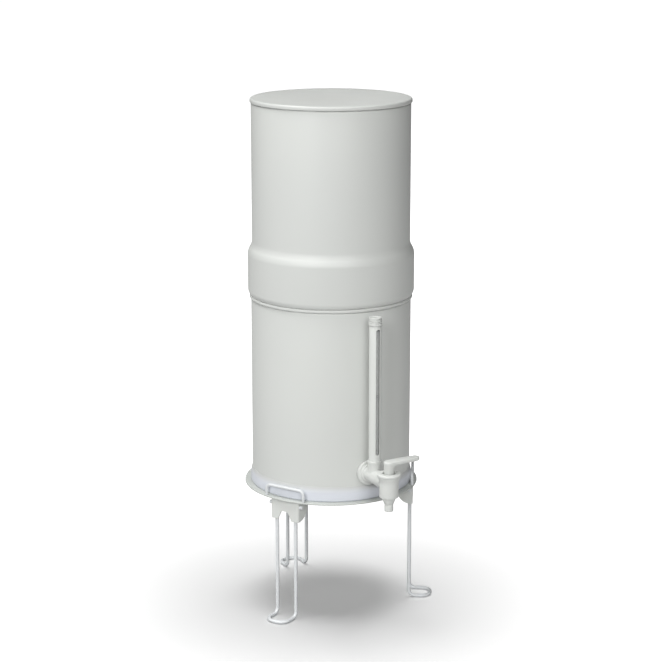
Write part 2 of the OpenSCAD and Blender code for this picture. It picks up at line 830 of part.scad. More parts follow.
module valve_bonnet() {
    top = bonnet_low + bonnet_h;
    edge = bonnet_edge_r;
    hole_r = hub_r + plug_play;
    color("gainsboro") at_valve() rotate_extrude() polygon(concat(
        [[neck_r + fit_gap, bonnet_low]],
        arc([bonnet_r - edge, bonnet_low + edge], edge, -90, 0),
        arc([bonnet_r - edge, top - edge], edge, 0, 90),
        arc([recess_r + edge, top - edge], edge, 90, 180),
        [
            [recess_r, top - recess_depth], [hole_r, top - recess_depth],
            [hole_r, bonnet_low + neck_h], [neck_r + fit_gap, bonnet_low + neck_h],
        ]
    ));
}

// The plug turns in the barrel and lets water through when its side port
// faces the inlet
module valve_plug() {
    top = plug_top - stand_h;
    color("silver") at_valve() difference() {
        union() {
            translate([0, 0, plug_low]) cylinder(r = plug_r, h = top - plug_low);
            translate([-drive_w / 2, -drive_w / 2, top]) cube([drive_w, drive_w, drive_h]);
        }
        translate([0, 0, plug_low - cut])
            cylinder(r = spout_bore_r, h = inlet_h - plug_low + cut);
        translate([0, 0, inlet_h]) rotate([0, -90, 0]) cylinder(r = port_r, h = plug_r + cut);
        for (z = plug_seal_levels()) translate([0, 0, z]) difference() {
            translate([0, 0, -plug_seal_r]) cylinder(r = plug_r + cut, h = seal_groove());
            translate([0, 0, -plug_seal_r - cut])
                cylinder(r = plug_r - seal_groove(), h = seal_groove() + 2 * cut);
        }
    }
}

function seal_groove() = 2 * plug_seal_r;
function plug_seal_levels() = [
    (plug_low + inlet_h - port_r) / 2 - seal_groove() / 2,
    (inlet_h + port_r + plug_top - stand_h) / 2,
];

module plug_seals() {
    color("dimgray") at_valve() for (z = plug_seal_levels())
        translate([0, 0, z]) seal_ring(plug_r - plug_seal_r, plug_seal_r - seal_play);
}

// The lever's outline from above: a round root and a round-ended paddle
module lever_plan() {
    tip_r = lever_w / 2;
    circle(r = lever_root_r);
    translate([0, -lever_w / 2]) square([lever_len - tip_r, lever_w]);
    translate([lever_len - tip_r, 0]) circle(r = tip_r);
}

// The lever's outline from its side: a thin blade that rises to its tip,
// with a fillet down to the hub
module lever_side() {
    run = lever_len + lever_root_r;
    lean = atan(lever_rise / run);
    low = lever_top - lever_t;
    blend = lever_fillet_r;
    polygon(concat(
        [[-lever_root_r, lever_top]],
        [[-lever_root_r, low]],
        [[-hub_r, low - lever_root_r + hub_r]],
        [[hub_r, low - blend]],
        arc([hub_r + blend, low - blend], blend, 180, 90 + lean),
        [
            [lever_len, low + lever_rise],
            [lever_len, lever_top + lever_rise],
        ]
    ));
}

module tap_lever() {
    low = hub_low - stand_h;
    color("gainsboro") at_valve() difference() {
        union() {
            intersection() {
                linear_extrude(lever_top + lever_rise + cut) lever_plan();
                translate([0, lever_w, 0]) rotate([90, 0, 0])
                    linear_extrude(2 * lever_w) lever_side();
            }
            translate([0, 0, low]) cylinder(r = hub_r, h = lever_top - lever_t - low);
        }
        translate([-drive_w / 2 - fit_gap, -drive_w / 2 - fit_gap, low - cut])
            cube([drive_w + 2 * fit_gap, drive_w + 2 * fit_gap, drive_h + cut]);
    }
}

// The upper vessel with its neck, belt and flare

// Points of the flare from the belt up to the straight wall
function flare(belt, straight, low, high) =
    let (
        half_w = (belt - straight) / 2,
        half_h = (high - low) / 2,
        r = (pow(half_w, 2) + pow(half_h, 2)) / (2 * half_w),
        a = asin(half_h / r)
    ) concat(
        arc([belt - r, low], r, 0, a, flare_steps),
        arc([straight + r, high], r, 180 + a, 180, flare_steps)
    );
function reversed(pts) = [for (i = [len(pts) - 1:-1:0]) pts[i]];

module upper_vessel() {
    belt_top = seat_z + belt_h;
    flare_top = belt_top + flare_h;
    belt_in = belt_r - wall;
    neck_in = vessel_neck_r - wall;
    belt_floor = seat_z + wall;
    lip_in = upper_r - rim_turn_r - rim_lip_w;
    color("gainsboro") difference() {
        rotate_extrude() polygon(concat(
            [[0, floor_low]],
            arc([vessel_neck_r - neck_corner_r, floor_low + neck_corner_r],
                neck_corner_r, -90, 0),
            [[vessel_neck_r, seat_z]],
            arc([belt_r - belt_corner_r, seat_z + belt_corner_r], belt_corner_r, -90, 0),
            flare(belt_r, upper_r, belt_top, flare_top),
            arc([upper_r - rim_turn_r, upper_rim_z - rim_turn_r], rim_turn_r, 0, 90),
            [[lip_in, upper_rim_z], [lip_in, upper_rim_z - wall]],
            arc([upper_r - rim_turn_r, upper_rim_z - rim_turn_r], rim_turn_r - wall, 90, 0),
            reversed(flare(belt_in, upper_in, belt_top, flare_top)),
            arc([belt_r - belt_corner_r, seat_z + belt_corner_r],
                belt_corner_r - wall, 0, -90),
            [[neck_in, belt_floor]],
            arc([vessel_neck_r - neck_corner_r, floor_low + neck_corner_r],
                neck_corner_r - wall, 0, -90),
            [[0, floor_top]]
        ));
        for (i = [0:2]) at_filter(i) translate([0, 0, floor_low - cut])
            cylinder(r = stem_r + stem_gap, h = wall + 2 * cut);
    }
}

// The ceramic filters that stand on the upper vessel's floor

module filter_candle(index) {
    low = floor_top + washer_t + candle_base_h - candle_seat_depth;
    in_r = candle_r - candle_wall;
    straight = candle_h - candle_r;
    color("ivory") at_filter(index) translate([0, 0, low]) difference() {
        union() {
            cylinder(r = candle_r, h = straight);
            translate([0, 0, straight]) rotate_extrude() intersection() {
                circle(r = candle_r);
                square(candle_r);
            }
        }
        translate([0, 0, -cut]) cylinder(r = in_r, h = straight + cut);
        translate([0, 0, straight]) sphere(r = in_r);
    }
}

module candle_base(index) {
    low = floor_top + washer_t;
    seat_low = candle_base_h - candle_seat_depth;
    edge = candle_seat_depth / 4;
    stem_low = floor_low - stem_below - low;
    color("white") at_filter(index) translate([0, 0, low]) rotate_extrude() polygon(concat(
        [
            [stem_bore_r, stem_low], [stem_r, stem_low], [stem_r, 0],
            [candle_base_r - edge, 0],
        ],
        arc([candle_base_r - edge, edge], edge, -90, 0),
        arc([candle_base_r - edge, candle_base_h - edge], edge, 0, 90),
        [
            [candle_r + fit_gap, candle_base_h], [candle_r + fit_gap, seat_low],
            [stem_bore_r, seat_low],
        ]
    ));
}

// A flat ring round each stem
module washers(z) {
    color("dimgray") for (i = [0:2]) at_filter(i) translate([0, 0, z]) difference() {
        cylinder(r = washer_r, h = washer_t);
        translate([0, 0, -cut]) cylinder(r = stem_r + fit_gap, h = washer_t + 2 * cut);
    }
}

module upper_washers() {
    washers(floor_top);
}

module lower_washers() {
    washers(floor_low - washer_t);
}

module wing_nuts() {
    low = floor_low - washer_t - wing_hub_h;
    color("white") for (i = [0:2]) at_filter(i) translate([0, 0, low]) difference() {
        union() {
            cylinder(r = wing_hub_r, h = wing_hub_h);
            for (side = [-1, 1])
                translate([side * wing_offset, wing_t / 2, wing_hub_h / 2]) rotate([90, 0, 0])
                    cylinder(r = wing_r, h = wing_t);
        }
        translate([0, 0, -wing_r]) cylinder(r = stem_r + fit_gap, h = wing_hub_h + 2 * wing_r);
        translate([-wing_offset - wing_r, -wing_t, wing_hub_h])
            cube([2 * (wing_offset + wing_r), 2 * wing_t, wing_r]);
    }
}

// The lid is a shallow pressed cap

module lid() {
    low = lid_top_z - lid_h;
    in_r = lid_r - wall;
    color("gainsboro") rotate_extrude() polygon(concat(
        [[0, upper_rim_z]],
        arc([lid_r - lid_corner_r, lid_top_z - lid_corner_r], lid_corner_r - wall, 90, 0),
        [[in_r, low], [lid_r, low]],
        arc([lid_r - lid_corner_r, lid_top_z - lid_corner_r], lid_corner_r, 0, 90),
        [[0, lid_top_z]]
    ));
}

stand_ring();
leg_bracket(left_angle);  // leg_bracket_left
leg_bracket(right_angle);  // leg_bracket_right
leg_bracket(rear_angle);  // leg_bracket_rear
retaining_hoop(left_angle);  // retaining_hoop_left
retaining_hoop(right_angle);  // retaining_hoop_right
retaining_hoop(rear_angle);  // retaining_hoop_rear
folding_leg(left_angle);  // folding_leg_left
folding_leg(right_angle);  // folding_leg_right
folding_leg(rear_angle);  // folding_leg_rear
lower_vessel();
base_band();
tap_tee();
outer_gasket();
inner_gasket();
shank_nut();
gauge_guard();
sight_tube();
gauge_cap();
lower_gauge_seal();
upper_gauge_seal();
level_float();
valve_barrel();
valve_bonnet();
valve_plug();
plug_seals();
tap_lever();
upper_vessel();
filter_candle(0);  // filter_candle_1
filter_candle(1);  // filter_candle_2
filter_candle(2);  // filter_candle_3
candle_base(0);  // candle_base_1
candle_base(1);  // candle_base_2
candle_base(2);  // candle_base_3
upper_washers();
lower_washers();
wing_nuts();
lid();
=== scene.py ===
"""Looks of a gravity water filter on a folding wire stand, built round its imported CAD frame."""

import logging
import math
from dataclasses import dataclass, field
from enum import Enum
from functools import cache
from typing import Callable, Iterable, Optional, Sequence, Union

import bmesh
import bpy
from mathutils import Matrix, Vector


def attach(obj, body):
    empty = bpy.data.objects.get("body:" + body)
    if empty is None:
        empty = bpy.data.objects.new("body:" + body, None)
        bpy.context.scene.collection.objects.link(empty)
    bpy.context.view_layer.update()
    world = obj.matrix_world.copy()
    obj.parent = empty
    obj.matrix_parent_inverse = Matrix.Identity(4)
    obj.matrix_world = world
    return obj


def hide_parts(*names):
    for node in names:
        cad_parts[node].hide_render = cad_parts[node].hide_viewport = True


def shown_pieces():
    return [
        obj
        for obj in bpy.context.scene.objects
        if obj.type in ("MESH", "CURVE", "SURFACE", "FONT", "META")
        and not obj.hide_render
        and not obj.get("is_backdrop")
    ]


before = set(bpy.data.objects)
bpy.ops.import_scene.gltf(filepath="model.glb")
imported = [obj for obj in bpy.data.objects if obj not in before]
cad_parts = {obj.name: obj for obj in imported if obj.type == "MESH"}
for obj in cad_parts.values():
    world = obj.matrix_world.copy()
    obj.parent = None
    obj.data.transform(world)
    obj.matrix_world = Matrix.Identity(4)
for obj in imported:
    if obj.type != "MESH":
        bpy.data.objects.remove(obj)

LOG = logging.getLogger("water_filter")
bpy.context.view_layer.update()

MM = 0.001
NEAR = 1e-6  # Metres within which a vertex counts as lying at a place.
RING_TOP = 168.0  # Height of the stand's ring above the floor, in millimetres.


# Shader nodes


WHITE = (1.0, 1.0, 1.0, 1.0)
VECTOR, FLOAT, COLOUR = "NodeSocketVector", "NodeSocketFloat", "NodeSocketColor"

Label = Union[str, int]
Colour = tuple[float, float, float]


class MixSocket:
    """Numbers of the Mix node's sockets, whose names repeat from type to type."""

    FACTOR: int = 0
    FLOATS: tuple[int, int] = (2, 3)
    COLOURS: tuple[int, int] = (6, 7)
    COLOUR_OUT: int = 2


class Wiring:
    """A node tree in the making."""

    def __init__(self, tree: bpy.types.NodeTree) -> None:
        """Takes up a node tree."""
        self.tree = tree

    def set(self, node: bpy.types.Node, values: dict[Label, object]) -> bpy.types.Node:
        """Gives inputs of a node their fixed values.

        Args:
            node: the node.
            values: socket name or number to value.

        Returns:
            The node.
        """
        for label, value in values.items():
            node.inputs[label].default_value = value
        return node

    def add(
        self, kind: str, values: Optional[dict[Label, object]] = None, **settings: object
    ) -> bpy.types.Node:
        """Adds a node.

        Args:
            kind: its type.
            values: fixed values of its inputs, as for set.
            settings: its own settings, such as an operation.

        Returns:
            The new node.
        """
        node = self.tree.nodes.new(kind)
        for name, value in settings.items():
            setattr(node, name, value)
        return self.set(node, values or {})

    def link(self, *runs: tuple[bpy.types.Node, Label, bpy.types.Node, Label]) -> None:
        """Links outputs to inputs, each run being source, output, target and input."""
        for source, output, target, socket in runs:
            self.tree.links.new(source.outputs[output], target.inputs[socket])

    def seen(self) -> bpy.types.Node:
        """Adds the test for camera and transmission rays.

        Returns:
            A node whose output is 1 for those rays and 0 for the others.
        """
        rays = self.add("ShaderNodeLightPath")
        either = self.add("ShaderNodeMath", operation="MAXIMUM")
        self.link((rays, "Is Camera Ray", either, 0), (rays, "Is Transmission Ray", either, 1))
        return either


class NoiseGroup(Wiring):
    """A shader node group that starts from a noise over the surface."""

    def __init__(self, name: str, detail: float, inputs: dict[str, str], output: tuple[str, str]) -> None:
        """Makes the group with its sockets and its noise.

        Args:
            name: the group's name.
            detail: the noise's detail.
            inputs: socket name to type, for the inputs beside Position and Scale.
            output: name and type of the output.
        """
        super().__init__(bpy.data.node_groups.new(name, "ShaderNodeTree"))
        sockets = self.tree.interface
        for label, kind in {"Position": VECTOR, "Scale": FLOAT, **inputs}.items():
            sockets.new_socket(name=label, in_out="INPUT", socket_type=kind)
        sockets.new_socket(name=output[0], in_out="OUTPUT", socket_type=output[1])
        self.source = self.add("NodeGroupInput")
        self.out = self.add("NodeGroupOutput")
        self.noise = self.add("ShaderNodeTexNoise", {"Detail": detail})
        self.link(
            (self.source, "Position", self.noise, "Vector"),
            (self.source, "Scale", self.noise, "Scale"),
        )


@cache
def grain_group() -> bpy.types.NodeTree:
    """Builds the group for fine grain with a slower waviness under it.

    Returns:
        A group that turns a position into a height.
    """
    group = NoiseGroup("surface_grain", 3.0, {}, ("Height", FLOAT))
    wave = group.add("ShaderNodeTexNoise", {"Scale": 25.0, "Detail": 1.0})
    mix = group.add("ShaderNodeMix", {MixSocket.FACTOR: 0.5}, data_type="FLOAT")
    group.link(
        (group.source, "Position", wave, "Vector"),
        (group.noise, "Fac", mix, MixSocket.FLOATS[0]),
        (wave, "Fac", mix, MixSocket.FLOATS[1]),
        (mix, 0, group.out, "Height"),
    )
    return group.tree


@cache
def drift_group() -> bpy.types.NodeTree:
    """Builds the group for a slow, slight change of tone.

    Returns:
        A group that mixes two colours by a soft noise.
    """
    group = NoiseGroup("tone_drift", 2.0, {"Colour": COLOUR, "Other Colour": COLOUR}, ("Colour", COLOUR))
    ramp = group.add(
        "ShaderNodeMapRange", {"From Min": 0.3, "From Max": 0.7}, interpolation_type="SMOOTHSTEP"
    )
    mix = group.add("ShaderNodeMix", data_type="RGBA")
    group.link(
        (group.noise, "Fac", ramp, "Value"),
        (ramp, "Result", mix, MixSocket.FACTOR),
        (group.source, "Colour", mix, MixSocket.COLOURS[0]),
        (group.source, "Other Colour", mix, MixSocket.COLOURS[1]),
        (mix, MixSocket.COLOUR_OUT, group.out, "Colour"),
    )
    return group.tree


@cache
def handling_group() -> bpy.types.NodeTree:
    """Builds the group for uneven gloss, as hands and wiping leave it.

    Returns:
        A group that turns a position into a roughness between two values.
    """
    group = NoiseGroup("handling_gloss", 4.0, {"Low": FLOAT, "High": FLOAT}, ("Roughness", FLOAT))
    spread = group.add("ShaderNodeMapRange", {"From Min": 0.35, "From Max": 0.65})
    group.link(
        (group.noise, "Fac", spread, "Value"),
        (group.source, "Low", spread, "To Min"),
        (group.source, "High", spread, "To Max"),
        (spread, "Result", group.out, "Roughness"),
    )
    return group.tree


# Finishes


class Slot(Enum):
    """The record's material slots that get a finish here."""

    VESSEL = "vessel_paint"
    STAND = "stand_paint"
    WIRE = "wire_paint"
    BAND = "band_plastic"
    TAP = "tap_plastic"
    SEAL = "seal_rubber"
    CLEAR = "clear_tube"
    FLOAT = "float_plastic"
    CERAMIC = "filter_ceramic"


@dataclass(frozen=True)
class Finish:
    """A surface finish with a drifting tone, an uneven gloss and a fine grain.

    Attributes:
        name: the material's name.
        colour: main colour, linear.
        other: the colour that the tone drifts to, linear.
        gloss: lowest and highest roughness.
        grain_scale: grains per metre, roughly.
        grain_height: strength of the bump.
        drift_scale: tone changes per metre.
        coat: weight of a clear coat.
        specular: specular level.
        coat_gloss: roughness of the clear coat.
        gloss_scale: gloss changes per metre.
        grain_depth: depth of the grain at full strength, in metres.
    """

    name: str
    colour: Colour
    other: Colour
    gloss: tuple[float, float]
    grain_scale: float
    grain_height: float
    drift_scale: float
    coat: float = 0.0
    specular: float = 0.5
    coat_gloss: float = 0.2
    gloss_scale: float = 18.0
    grain_depth: float = 0.0004

    @cache
    def material(self) -> bpy.types.Material:
        """Builds the material, once.

        Returns:
            The material.
        """
        made = bpy.data.materials.new(self.name)
        made.use_nodes = True
        tree = Wiring(made.node_tree)
        shader = tree.set(made.node_tree.nodes["Principled BSDF"], {
            "Specular IOR Level": self.specular,
            "Coat Weight": self.coat,
            "Coat Roughness": self.coat_gloss,
        })
        place = tree.add("ShaderNodeTexCoord")
        drift = tree.add("ShaderNodeGroup", {
            "Scale": self.drift_scale, "Colour": (*self.colour, 1.0), "Other Colour": (*self.other, 1.0),
        }, node_tree=drift_group())
        gloss = tree.add("ShaderNodeGroup", {
            "Scale": self.gloss_scale, "Low": self.gloss[0], "High": self.gloss[1],
        }, node_tree=handling_group())
        grain = tree.add("ShaderNodeGroup", {"Scale": self.grain_scale}, node_tree=grain_group())
        bump = tree.add("ShaderNodeBump", {"Strength": self.grain_height, "Distance": self.grain_depth})
        for group in (drift, gloss, grain):
            tree.link((place, "Object", group, "Position"))
        tree.link(
            (drift, "Colour", shader, "Base Color"),
            (gloss, "Roughness", shader, "Roughness"),
            (grain, "Height", bump, "Height"),
            (bump, "Normal", shader, "Normal"),
        )
        self._extra(tree, shader)
        return made

    def _extra(self, tree: Wiring, shader: bpy.types.Node) -> None:
        """Sets what a special finish adds; a plain one adds nothing."""


@dataclass(frozen=True)
class ClearFinish(Finish):
    """A thin clear plastic tube.

    Attributes:
        milk: share of the view that the tube's own wall hides.
        shade: share of the lamps' light that it keeps from what is inside it.
    """

    milk: float = 0.24
    shade: float = 0.05

    def _extra(self, tree: Wiring, shader: bpy.types.Node) -> None:
        """Lets light through the wall, so that what is inside is seen and lit."""
        rays = tree.add("ShaderNodeLightPath")
        solid = tree.add(
            "ShaderNodeMath", {1: self.shade - self.milk, 2: self.milk}, operation="MULTIPLY_ADD"
        )
        tree.link((rays, "Is Shadow Ray", solid, 0), (solid, 0, shader, "Alpha"))


@dataclass(frozen=True)
class LipShadedFinish(Finish):
    """A moulding that turns grey towards its top edge: painted shade on its tilted lip.

    Attributes:
        lip_shade: the grey mixed in towards the top edge as painted shade, linear.
        lip_from: height above the floor at which the painted shade starts, in metres.
        lip_to: height at which the painted shade is strongest.
    """

    # Painted shade: a grey mixed into the band's tilted top, which would otherwise catch more light.
    lip_shade: Colour = (0.56, 0.57, 0.56)
    lip_from: float = 0.178
    lip_to: float = 0.1885

    def _extra(self, tree: Wiring, shader: bpy.types.Node) -> None:
        """Mixes the painted shade in towards the lip."""
        drift = shader.inputs["Base Color"].links[0].from_node
        place = tree.add("ShaderNodeTexCoord")
        axes = tree.add("ShaderNodeSeparateXYZ")
        share = tree.add(
            "ShaderNodeMapRange", {"From Min": self.lip_from, "From Max": self.lip_to},
            interpolation_type="SMOOTHSTEP",
        )
        mix = tree.add("ShaderNodeMix", data_type="RGBA")
        tree.set(mix, {MixSocket.COLOURS[1]: (*self.lip_shade, 1.0)})
        tree.link(
            (place, "Object", axes, 0),
            (axes, "Z", share, "Value"),
            (share, "Result", mix, MixSocket.FACTOR),
            (drift, "Colour", mix, MixSocket.COLOURS[0]),
            (mix, MixSocket.COLOUR_OUT, shader, "Base Color"),
        )


FINISHES: dict[Slot, Finish] = {
    Slot.VESSEL: Finish(
        "satin_grey_coat", (0.64, 0.655, 0.63), (0.62, 0.635, 0.615),
        gloss=(0.42, 0.5), grain_scale=1400.0, grain_height=0.035, drift_scale=4.0,
    ),
    Slot.STAND: Finish(
        "stand_coat", (0.66, 0.675, 0.65), (0.635, 0.65, 0.625),
        gloss=(0.4, 0.52), grain_scale=1600.0, grain_height=0.05, drift_scale=9.0,
    ),
    # Light grey wire paint, tinted slightly cool: partly painted light, the bluish floor bounce seen in the
    # wires' shade.
    Slot.WIRE: Finish(
        "wire_coat", (0.69, 0.71, 0.72), (0.66, 0.68, 0.69),
        gloss=(0.28, 0.4), grain_scale=1800.0, grain_height=0.04, drift_scale=14.0,
    ),
    # The band's cool white, with painted shade greying its top edge.
    Slot.BAND: LipShadedFinish(
        "cool_white_plastic", (0.68, 0.705, 0.757), (0.655, 0.68, 0.732),
        gloss=(0.38, 0.48), grain_scale=2200.0, grain_height=0.04, drift_scale=8.0,
    ),
    Slot.TAP: Finish(
        "moulded_tap_plastic", (0.67, 0.685, 0.66), (0.65, 0.665, 0.64),
        gloss=(0.36, 0.45), grain_scale=2500.0, grain_height=0.03, drift_scale=16.0, coat=0.08,
    ),
    Slot.SEAL: Finish(
        "pale_silicone", (0.6, 0.61, 0.6), (0.56, 0.57, 0.56),
        gloss=(0.6, 0.75), grain_scale=3000.0, grain_height=0.12, drift_scale=20.0,
    ),
    Slot.CLEAR: ClearFinish(
        "clear_tube_plastic", (0.88, 0.9, 0.89), (0.85, 0.87, 0.86),
        gloss=(0.14, 0.2), grain_scale=600.0, grain_height=0.01, drift_scale=6.0,
    ),
    Slot.FLOAT: Finish(
        "dark_indicator", (0.035, 0.04, 0.045), (0.025, 0.03, 0.035),
        gloss=(0.4, 0.5), grain_scale=2500.0, grain_height=0.05, drift_scale=12.0,
    ),
    Slot.CERAMIC: Finish(
        "unglazed_ceramic", (0.8, 0.77, 0.69), (0.72, 0.69, 0.61),
        gloss=(0.75, 0.9), grain_scale=1200.0, grain_height=0.35, drift_scale=18.0, specular=0.3,
    ),
}

# The stand's paint made darker for the ring alone: painted shade, where the vessel keeps light from above off
# the ring.
SHADED_RING_FINISH = Finish(
    "ring_coat_shaded", (0.53, 0.55, 0.525), (0.5, 0.52, 0.495),
    gloss=(0.42, 0.55), grain_scale=1600.0, grain_height=0.05, drift_scale=9.0,
)

ROD_FINISH = Finish(
    "grey_float_plastic", (0.25, 0.26, 0.26), (0.22, 0.23, 0.23),
    gloss=(0.35, 0.45), grain_scale=2500.0, grain_height=0.03, drift_scale=12.0,
)


# Shaping tools


def shift(x: float, y: float, z: float) -> Matrix:
    """Gives the move by a step in millimetres."""
    return Matrix.Translation(Vector((x, y, z)) * MM)


@dataclass(frozen=True)
class Corner:
    """A corner of a turned profile, in millimetres.

    Attributes:
        radius: distance from the axis.
        height: height along the axis.
        fillet: radius that the corner is rounded to, or zero for a sharp one.
        steps: faces across the rounding.
    """

    radius: float
    height: float
    fillet: float = 0.0
    steps: int = 2


class Workpiece:
    """A mesh in the making, with the operations that the pieces share."""

    merge_gap: float = 1e-7  # Metres within which vertices are merged.
    sharp_angle: float = 32.0  # Degrees past which an edge stays sharp.

    def __init__(self) -> None:
        """Starts with an empty mesh."""
        self.bm = bmesh.new()

    def move(self, matrix: Matrix, verts: Optional[Iterable[bmesh.types.BMVert]] = None) -> "Workpiece":
        """Moves the mesh, or some of its vertices.

        Args:
            matrix: the transform, in metres.
            verts: the vertices to move, or None for all.

        Returns:
            The workpiece itself.
        """
        chosen = list(self.bm.verts if verts is None else verts)
        bmesh.ops.transform(self.bm, matrix=matrix, verts=chosen)
        return self

    def draw(self, grown: Iterable[object], step: Vector) -> None:
        """Moves the vertices among freshly extruded elements by a step in metres."""
        verts = [item for item in grown if isinstance(item, bmesh.types.BMVert)]
        bmesh.ops.translate(self.bm, vec=step, verts=verts)

    def face_out(self) -> None:
        """Merges doubles and turns every face outward."""
        bmesh.ops.remove_doubles(self.bm, verts=self.bm.verts[:], dist=self.merge_gap)
        bmesh.ops.recalc_face_normals(self.bm, faces=self.bm.faces[:])

    def soften(self, width: float, steps: int, chosen: Callable[[bmesh.types.BMEdge], bool]) -> None:
        """Rounds the chosen edges.

        Args:
            width: width of the rounding in millimetres.
            steps: faces across it.
            chosen: says whether an edge is rounded.
        """
        edges = [edge for edge in self.bm.edges if chosen(edge)]
        bmesh.ops.bevel(
            self.bm, geom=edges, offset=width * MM, offset_type="OFFSET", segments=steps,
            profile=0.5, affect="EDGES", clamp_overlap=True, material=-1,
        )

    def merge(self, *tools: "Workpiece") -> "Workpiece":
        """Melts other closed meshes into this one, uses them up and returns itself."""
        return self._combine("UNION", tools)

    def cut(self, *tools: "Workpiece") -> "Workpiece":
        """Cuts other closed meshes out of this one, uses them up and returns itself."""
        return self._combine("DIFFERENCE", tools)

    def _combine(self, operation: str, tools: Sequence["Workpiece"]) -> "Workpiece":
        """Combines this mesh with others.

        Args:
            operation: what is done with them, UNION or DIFFERENCE.
            tools: the other closed meshes; they are used up.

        Returns:
            The workpiece itself.
        """
        host = self._object("host")
        for tool in tools:
            step = host.modifiers.new("combine", "BOOLEAN")
            step.operation = operation
            step.solver = "EXACT"
            step.object = tool._object("tool")
        bpy.context.view_layer.update()
        shaped = bpy.data.meshes.new_from_object(host.evaluated_get(bpy.context.evaluated_depsgraph_get()))
        spare = [step.object for step in host.modifiers] + [host]
        for item in spare:
            mesh = item.data
            bpy.data.objects.remove(item)
            bpy.data.meshes.remove(mesh)
        self.bm = bmesh.new()
        self.bm.from_mesh(shaped)
        bpy.data.meshes.remove(shaped)
        return self

    def _object(self, name: str) -> bpy.types.Object:
        """Turns the mesh into an object of the scene.

        Args:
            name: the object's name.

        Returns:
            The object.
        """
        mesh = bpy.data.meshes.new(name)
        self.bm.to_mesh(mesh)
        self.bm.free()
        item = bpy.data.objects.new(name, mesh)
        bpy.context.scene.collection.objects.link(item)
        return item

    def finish(
        self, name: str, body: str, slot: Slot, replaces: Sequence[str], coat: Optional[Finish] = None
    ) -> None:
        """Turns the mesh into a finished piece.

        Args:
            name: the piece's name.
            body: the CAD body that it rides on.
            slot: the record's material slot.
            replaces: the CAD nodes that it stands for.
            coat: its own finish, or None for the slot's.
        """
        piece = self._object(name)
        piece.data.shade_smooth()
        piece.data.set_sharp_from_angle(angle=math.radians(self.sharp_angle))
        piece.data.materials.append((coat or FINISHES[slot]).material())
        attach(piece, body)
        if replaces:
            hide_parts(*replaces)
        LOG.info("%s: %d faces, on %s", name, len(piece.data.polygons), body)


class Turned(Workpiece):
    """A piece turned on a lathe: a profile spun round the Z axis, then filleted."""

    def __init__(self, corners: Sequence[Corner], steps: int = 192) -> None:
        """Spins the profile.

        Args:
            corners: the profile's corners in order; one that doesn't end on the axis is closed to a ring.
            steps: faces round the piece.
        """
        super().__init__()
        verts = [self.bm.verts.new((c.radius * MM, 0.0, c.height * MM)) for c in corners]
        pairs = list(zip(verts, verts[1:]))
        if corners[0].radius > 0 or corners[-1].radius > 0:
            pairs.append((verts[-1], verts[0]))
        edges = [self.bm.edges.new(pair) for pair in pairs]
        bmesh.ops.spin(
            self.bm, geom=verts + edges, cent=(0, 0, 0), axis=(0, 0, 1), angle=math.tau,
            steps=steps, use_merge=True,
        )
        self.face_out()
        for i, corner in enumerate(corners):
            if corner.fillet > 0:
                self._fillet(corner, corners[i - 1], corners[(i + 1) % len(corners)])

    def _fillet(self, corner: Corner, before: Corner, after: Corner) -> None:
        """Rounds the ring of edges at a corner.

        Args:
            corner: the corner to round.
            before: the corner before it on the profile.
            after: the corner after it.
        """
        here = Vector((corner.radius, corner.height))
        into = here - Vector((before.radius, before.height))
        out = Vector((after.radius, after.height)) - here
        width = corner.fillet * math.tan(into.angle(out) / 2)

        def on_ring(edge: bmesh.types.BMEdge) -> bool:
            """Says whether both ends of an edge lie at the corner."""
            return all(
                abs(math.hypot(v.co.x, v.co.y) - corner.radius * MM) < NEAR
                and abs(v.co.z - corner.height * MM) < NEAR
                for v in edge.verts
            )

        self.soften(width, corner.steps, on_ring)


class Bar(Turned):
    """A plain round bar, to cut a bore with."""

    def __init__(self, radius: float, low: float, high: float, steps: int = 64) -> None:
        """Turns the bar between two heights, in millimetres."""
        super().__init__([Corner(0, low), Corner(radius, low), Corner(radius, high), Corner(0, high)], steps)


class Plate(Workpiece):
    """A flat plate with two round ends, lying along X from the first end's centre."""

    def __init__(self, near_r: float, far_r: float, reach: float, thickness: float, facets: int = 64) -> None:
        """Draws a disc out to the far end and gives it its thickness.

        Args:
            near_r: radius of the end at the origin, in millimetres.
            far_r: radius of the far end.
            reach: distance between the ends' centres.
            thickness: the plate's thickness, upward.
            facets: faces round the two ends together.
        """
        super().__init__()
        disc = bmesh.ops.create_circle(self.bm, cap_ends=True, radius=near_r * MM, segments=facets)["verts"]
        far_half = [v for v in disc if v.co.x > NEAR]
        self.move(shift(reach, 0, 0) @ Matrix.Scale(far_r / near_r, 4), far_half)
        grown = bmesh.ops.extrude_face_region(self.bm, geom=self.bm.faces[:])["geom"]
        self.draw(grown, Vector((0, 0, thickness * MM)))
        self.face_out()

    def hollow_under(self, reach: float, rise: float, steps: int) -> None:
        """Draws the far end in under the plate, along a quarter round.

        Args:
            reach: how far the bottom is drawn back, in millimetres.
            rise: the height that the quarter round takes.
            steps: faces along it.
        """
        for i in range(1, steps):
            cut = Vector((0, 0, rise * MM * (1 - math.cos(i / steps * math.pi / 2))))
            whole = self.bm.verts[:] + self.bm.edges[:] + self.bm.faces[:]
            bmesh.ops.bisect_plane(self.bm, geom=whole, plane_co=cut, plane_no=(0, 0, 1))
        for vert in self.bm.verts:
            if vert.co.x > NEAR:
                up = min(1.0, vert.co.z / (rise * MM))
                out = min(1.0, vert.co.x / (reach * MM))
                vert.co.x -= reach * MM * math.sqrt(max(0.0, 1 - up * up)) * out
        self.face_out()


